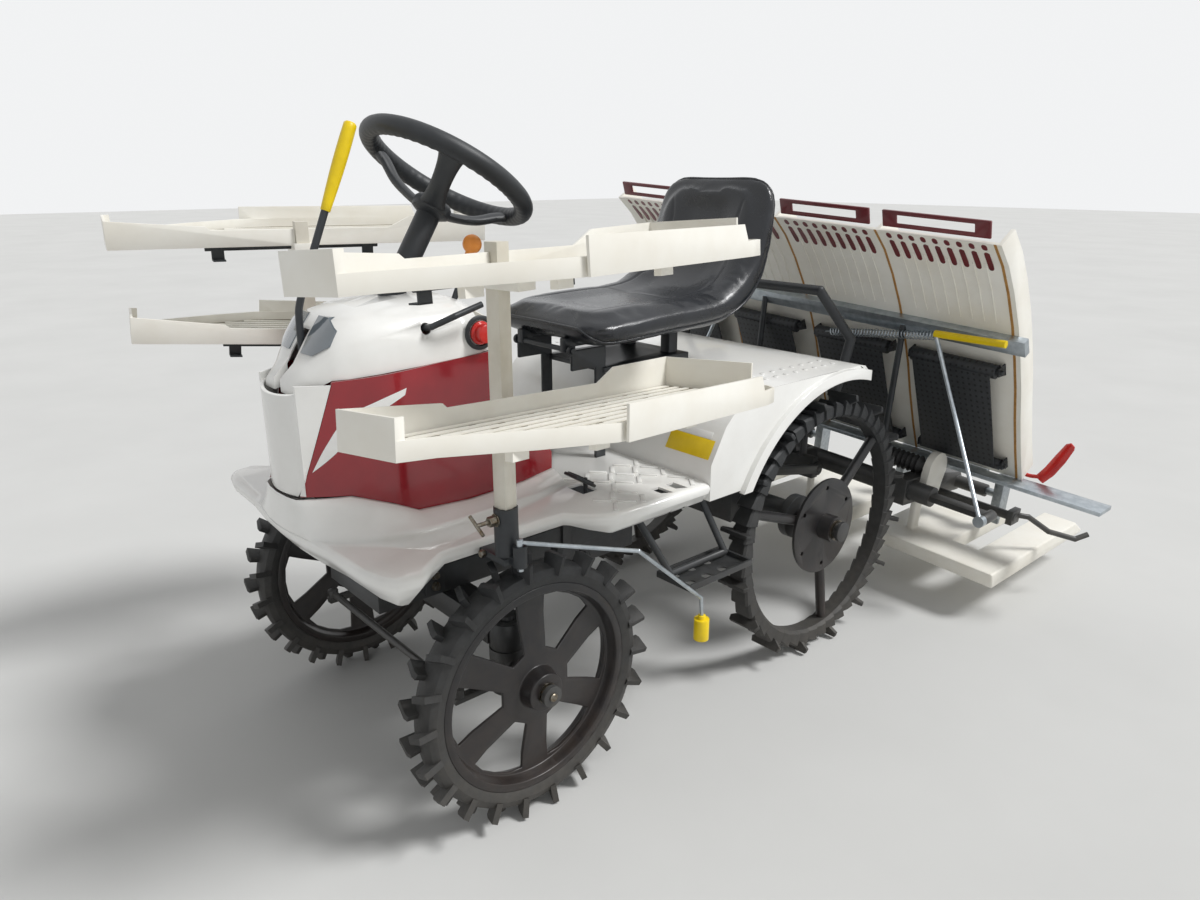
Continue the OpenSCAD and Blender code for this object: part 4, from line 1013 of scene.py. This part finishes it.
unit_x = Vector((math.cos(roll_turn), 0, -math.sin(roll_turn)))
unit_body = body_of["planting_frame"]
fold_pitch = 16
folds = [(0, 0), (16, 0)]
for k in range(7):
    folds += [(19, 4 + fold_pitch * k), (29, 12 + fold_pitch * k)]
folds += [(19, 116), (16, 124), (0, 124)]
solid("shaft_bellows", [turned(folds, on_unit(222, 1500, 398), unit_x, 28)], lug_rubber, unit_body,
      50)
lever_line = ((600, 392), (622, 424), (644, 470), (662, 512), (668, 520))
lever_path = [on_unit(x, 1706, z) for x, z in lever_line]
arm_line = [on_unit(600, 1706, 400), on_unit(570, 1706, 394), on_unit(545, 1702, 398)]
tail = [oval(lever_path, [(15, 5), (17, 6), (17, 6), (14, 5), (8, 3)], unit_x, 16),
        tube(curve_through(arm_line, 4), 6, 12)]
solid("tail_lever", tail, red_grip, unit_body)

# Tray ribs, seams and combs
# Under the tray each of the four places has moulded ribs, and a tan seal strip closes the seam to
# the next. Red-brown comb teeth fill the slots near the top, from behind.

row_pitch = 330
tray_line = [(-210, 1100), (-147, 1046), (-87, 976), (-22, 884), (33, 788), (78, 700), (118, 605),
             (170, 496), (220, 402)]
beam_y = 1432
tray_shift = -95
tray_body = body_of["tray"]


def on_tray(x, y, z):
    """A place on the sliding tray, from its own middle."""
    return on_unit(x + tray_shift, beam_y + y, z)


def along_tray(start, end, out_mm):
    """Places down the tray's slope between two stations, at a distance out from its front face."""
    cut = [Vector((0, y - 8.5, z - 5)) for y, z in tray_line[start:end + 1]]
    places = []
    for i, c in enumerate(cut):
        way = (cut[min(i + 1, len(cut) - 1)] - cut[max(i - 1, 0)]).normalized()
        front = Vector((0, way.z, -way.y))
        places.append(c + front * out_mm)
    return places


def tray_strip(x, width, start, end, out_mm, thick):
    """A flat strip down the slope, width across and thick through."""
    def build(bm):
        near = along_tray(start, end, out_mm)
        far = along_tray(start, end, out_mm + thick)
        half = width / 2
        rows = [[bm.verts.new(on_tray(x + dx, p.y, p.z)) for dx, p in
                 ((-half, a), (half, a), (half, b), (-half, b))] for a, b in zip(near, far)]
        skinned(bm, rows)
    return build


head_length = math.hypot(tray_line[1][0] - tray_line[0][0], tray_line[1][1] - tray_line[0][1])


def comb_tooth(x, start, end, half=7):
    """A tooth of the comb plate filling its slot: round ended, from start to end down the slope."""
    def build(bm):
        rows = []
        length = end - start
        round_end = (0.0, 0.6, 2.5, half)
        for far in round_end + tuple(length - part for part in reversed(round_end)):
            inside = min(far, length - far, half)
            wide = max(1.0, math.sqrt(half ** 2 - (half - inside) ** 2))
            line_number = 0 if start + far <= head_length else 1
            past = start + far - line_number * head_length
            faces = [along_tray(line_number, line_number + 1, out_mm) for out_mm in (-1.5, 0.8)]
            low, high = [a + (b - a).normalized() * past for a, b in faces]
            rows.append([bm.verts.new(on_tray(x + dx, p.y, p.z)) for dx, p in
                         ((-wide, low), (wide, low), (wide, high), (-wide, high))])
        skinned(bm, rows)
    return build


def comb_pair(bm):
    """The short upper and the long lower tooth of one slot."""
    for start, end in ((6, 27), (36, 104)):
        comb_tooth(0, start, end)(bm)


slots_a_row = 9
slot_margin = 36
slot_pitch = (row_pitch - 2 * slot_margin) / (slots_a_row - 1)
rib_pitch = 33
rib_spots = []
comb_spots = []
seams = []
for k in range(-2, 2):
    left_edge = k * row_pitch
    rib_spots += [(unit_x * (left_edge + 17 + n * rib_pitch) / 1000, 0) for n in range(1, 9)]
    comb_spots += [(unit_x * (left_edge + slot_margin + n * slot_pitch) / 1000, 0)
                   for n in range(slots_a_row)]
    seams.append(tray_strip(left_edge + (row_pitch if k < 1 else row_pitch - 6), 7, 0, 8, -0.3, 1.2))
repeated("tray_ribs", tray_strip(0, 3, 1, 3, -0.2, 2.6), rib_spots, 0, cream_plastic, tray_body)
# Aged foam seal is a dry dull tan.
tan_strip = finish("aged tan edge seal", "#B98A4C", "#A27538", 18, 0.5, 0.9, 0.15)
solid("tray_seams", seams, tan_strip, tray_body)
repeated("tray_combs", comb_pair, comb_spots, 0, brown_plastic, tray_body)

# Long coil spring
# Zinc-plated wire wound in one long close coil, stretched just in front of the rail, with a
# straight end each side that hooks on the frame.

spring_turns = 34
turn_steps = 8
spring_from = on_unit(20, 1402, 760)
spring_to = on_unit(352, 1402, 812)
spring_way = (spring_to - spring_from).normalized()
spring_side = Vector((0, 1, 0))
spring_up = spring_way.cross(spring_side)
coil = []
for t in range(turn_steps * spring_turns + 1):
    a = 2 * math.pi * t / turn_steps
    middle = spring_from.lerp(spring_to, t / (turn_steps * spring_turns))
    coil.append(middle + (spring_side * math.cos(a) + spring_up * math.sin(a)) * 0.011)
coil = [spring_from - spring_way * 0.02] + coil + [spring_to + spring_way * 0.02]
solid("counter_spring", [tube(coil, 1.7, 6)], zinc_plate, unit_body, 60)

# Studio
# A pale floor that takes the shadow, one broad soft lamp high at the machine's left rear, and an
# even pale world all round.

bpy.ops.mesh.primitive_plane_add(size=60)
ground = bpy.context.object
ground.name = "studio_floor"
ground.data.materials.append(finish("pale studio floor", "#D2D2D0", "#CDCDCB", 900, 0.8, 3.0, 0.02))

world = bpy.data.worlds.new("studio")
bpy.context.scene.world = world
world.use_nodes = True
sky = world.node_tree.nodes["Background"]
path = add(world.node_tree, "ShaderNodeLightPath")
direct = add(world.node_tree, "ShaderNodeMath", {"operation": "MAXIMUM"},
             {0: path.outputs["Is Camera Ray"], 1: path.outputs["Is Glossy Ray"]})
seen = add(world.node_tree, "ShaderNodeMath", {"operation": "MAXIMUM"},
           {0: direct.outputs[0], 1: path.outputs["Is Transmission Ray"]})
# The world lights the machine less brightly than it looks to the camera and in metal and glass.
brightness = add(world.node_tree, "ShaderNodeMapRange", None,
                 {"Value": seen.outputs[0], "To Min": 0.46, "To Max": 0.9})
world.node_tree.links.new(brightness.outputs["Result"], sky.inputs["Strength"])
sky.inputs["Color"].default_value = linear("#FDFEFF")

sun_data = bpy.data.lights.new("soft_key", "SUN")
sun_data.energy = 2.55
sun_data.angle = math.radians(16)
sun_lamp = bpy.data.objects.new("soft_key", sun_data)
bpy.context.scene.collection.objects.link(sun_lamp)
sun_lamp.rotation_euler = Vector((0.62, 0.48, 0.95)).to_track_quat("Z", "Y").to_euler()

azimuth, elevation = math.radians(48.84), math.radians(17.77)
camera_data = bpy.data.cameras.new("camera")
camera_data.sensor_fit = "HORIZONTAL"
camera_data.sensor_width = 36.0
focal_px = 871.06
photo_width_px = 1200
camera_data.lens = camera_data.sensor_width * focal_px / photo_width_px
camera = bpy.data.objects.new("camera", camera_data)
bpy.context.scene.collection.objects.link(camera)
camera.location = (1.576, -0.875 + axle_y, 1.226)
back = Vector((math.sin(azimuth) * math.cos(elevation), -math.cos(azimuth) * math.cos(elevation),
               math.sin(elevation)))
camera.rotation_euler = back.to_track_quat("Z", "Y").to_euler()
bpy.context.scene.camera = camera
bpy.context.scene.view_settings.view_transform = "Standard"
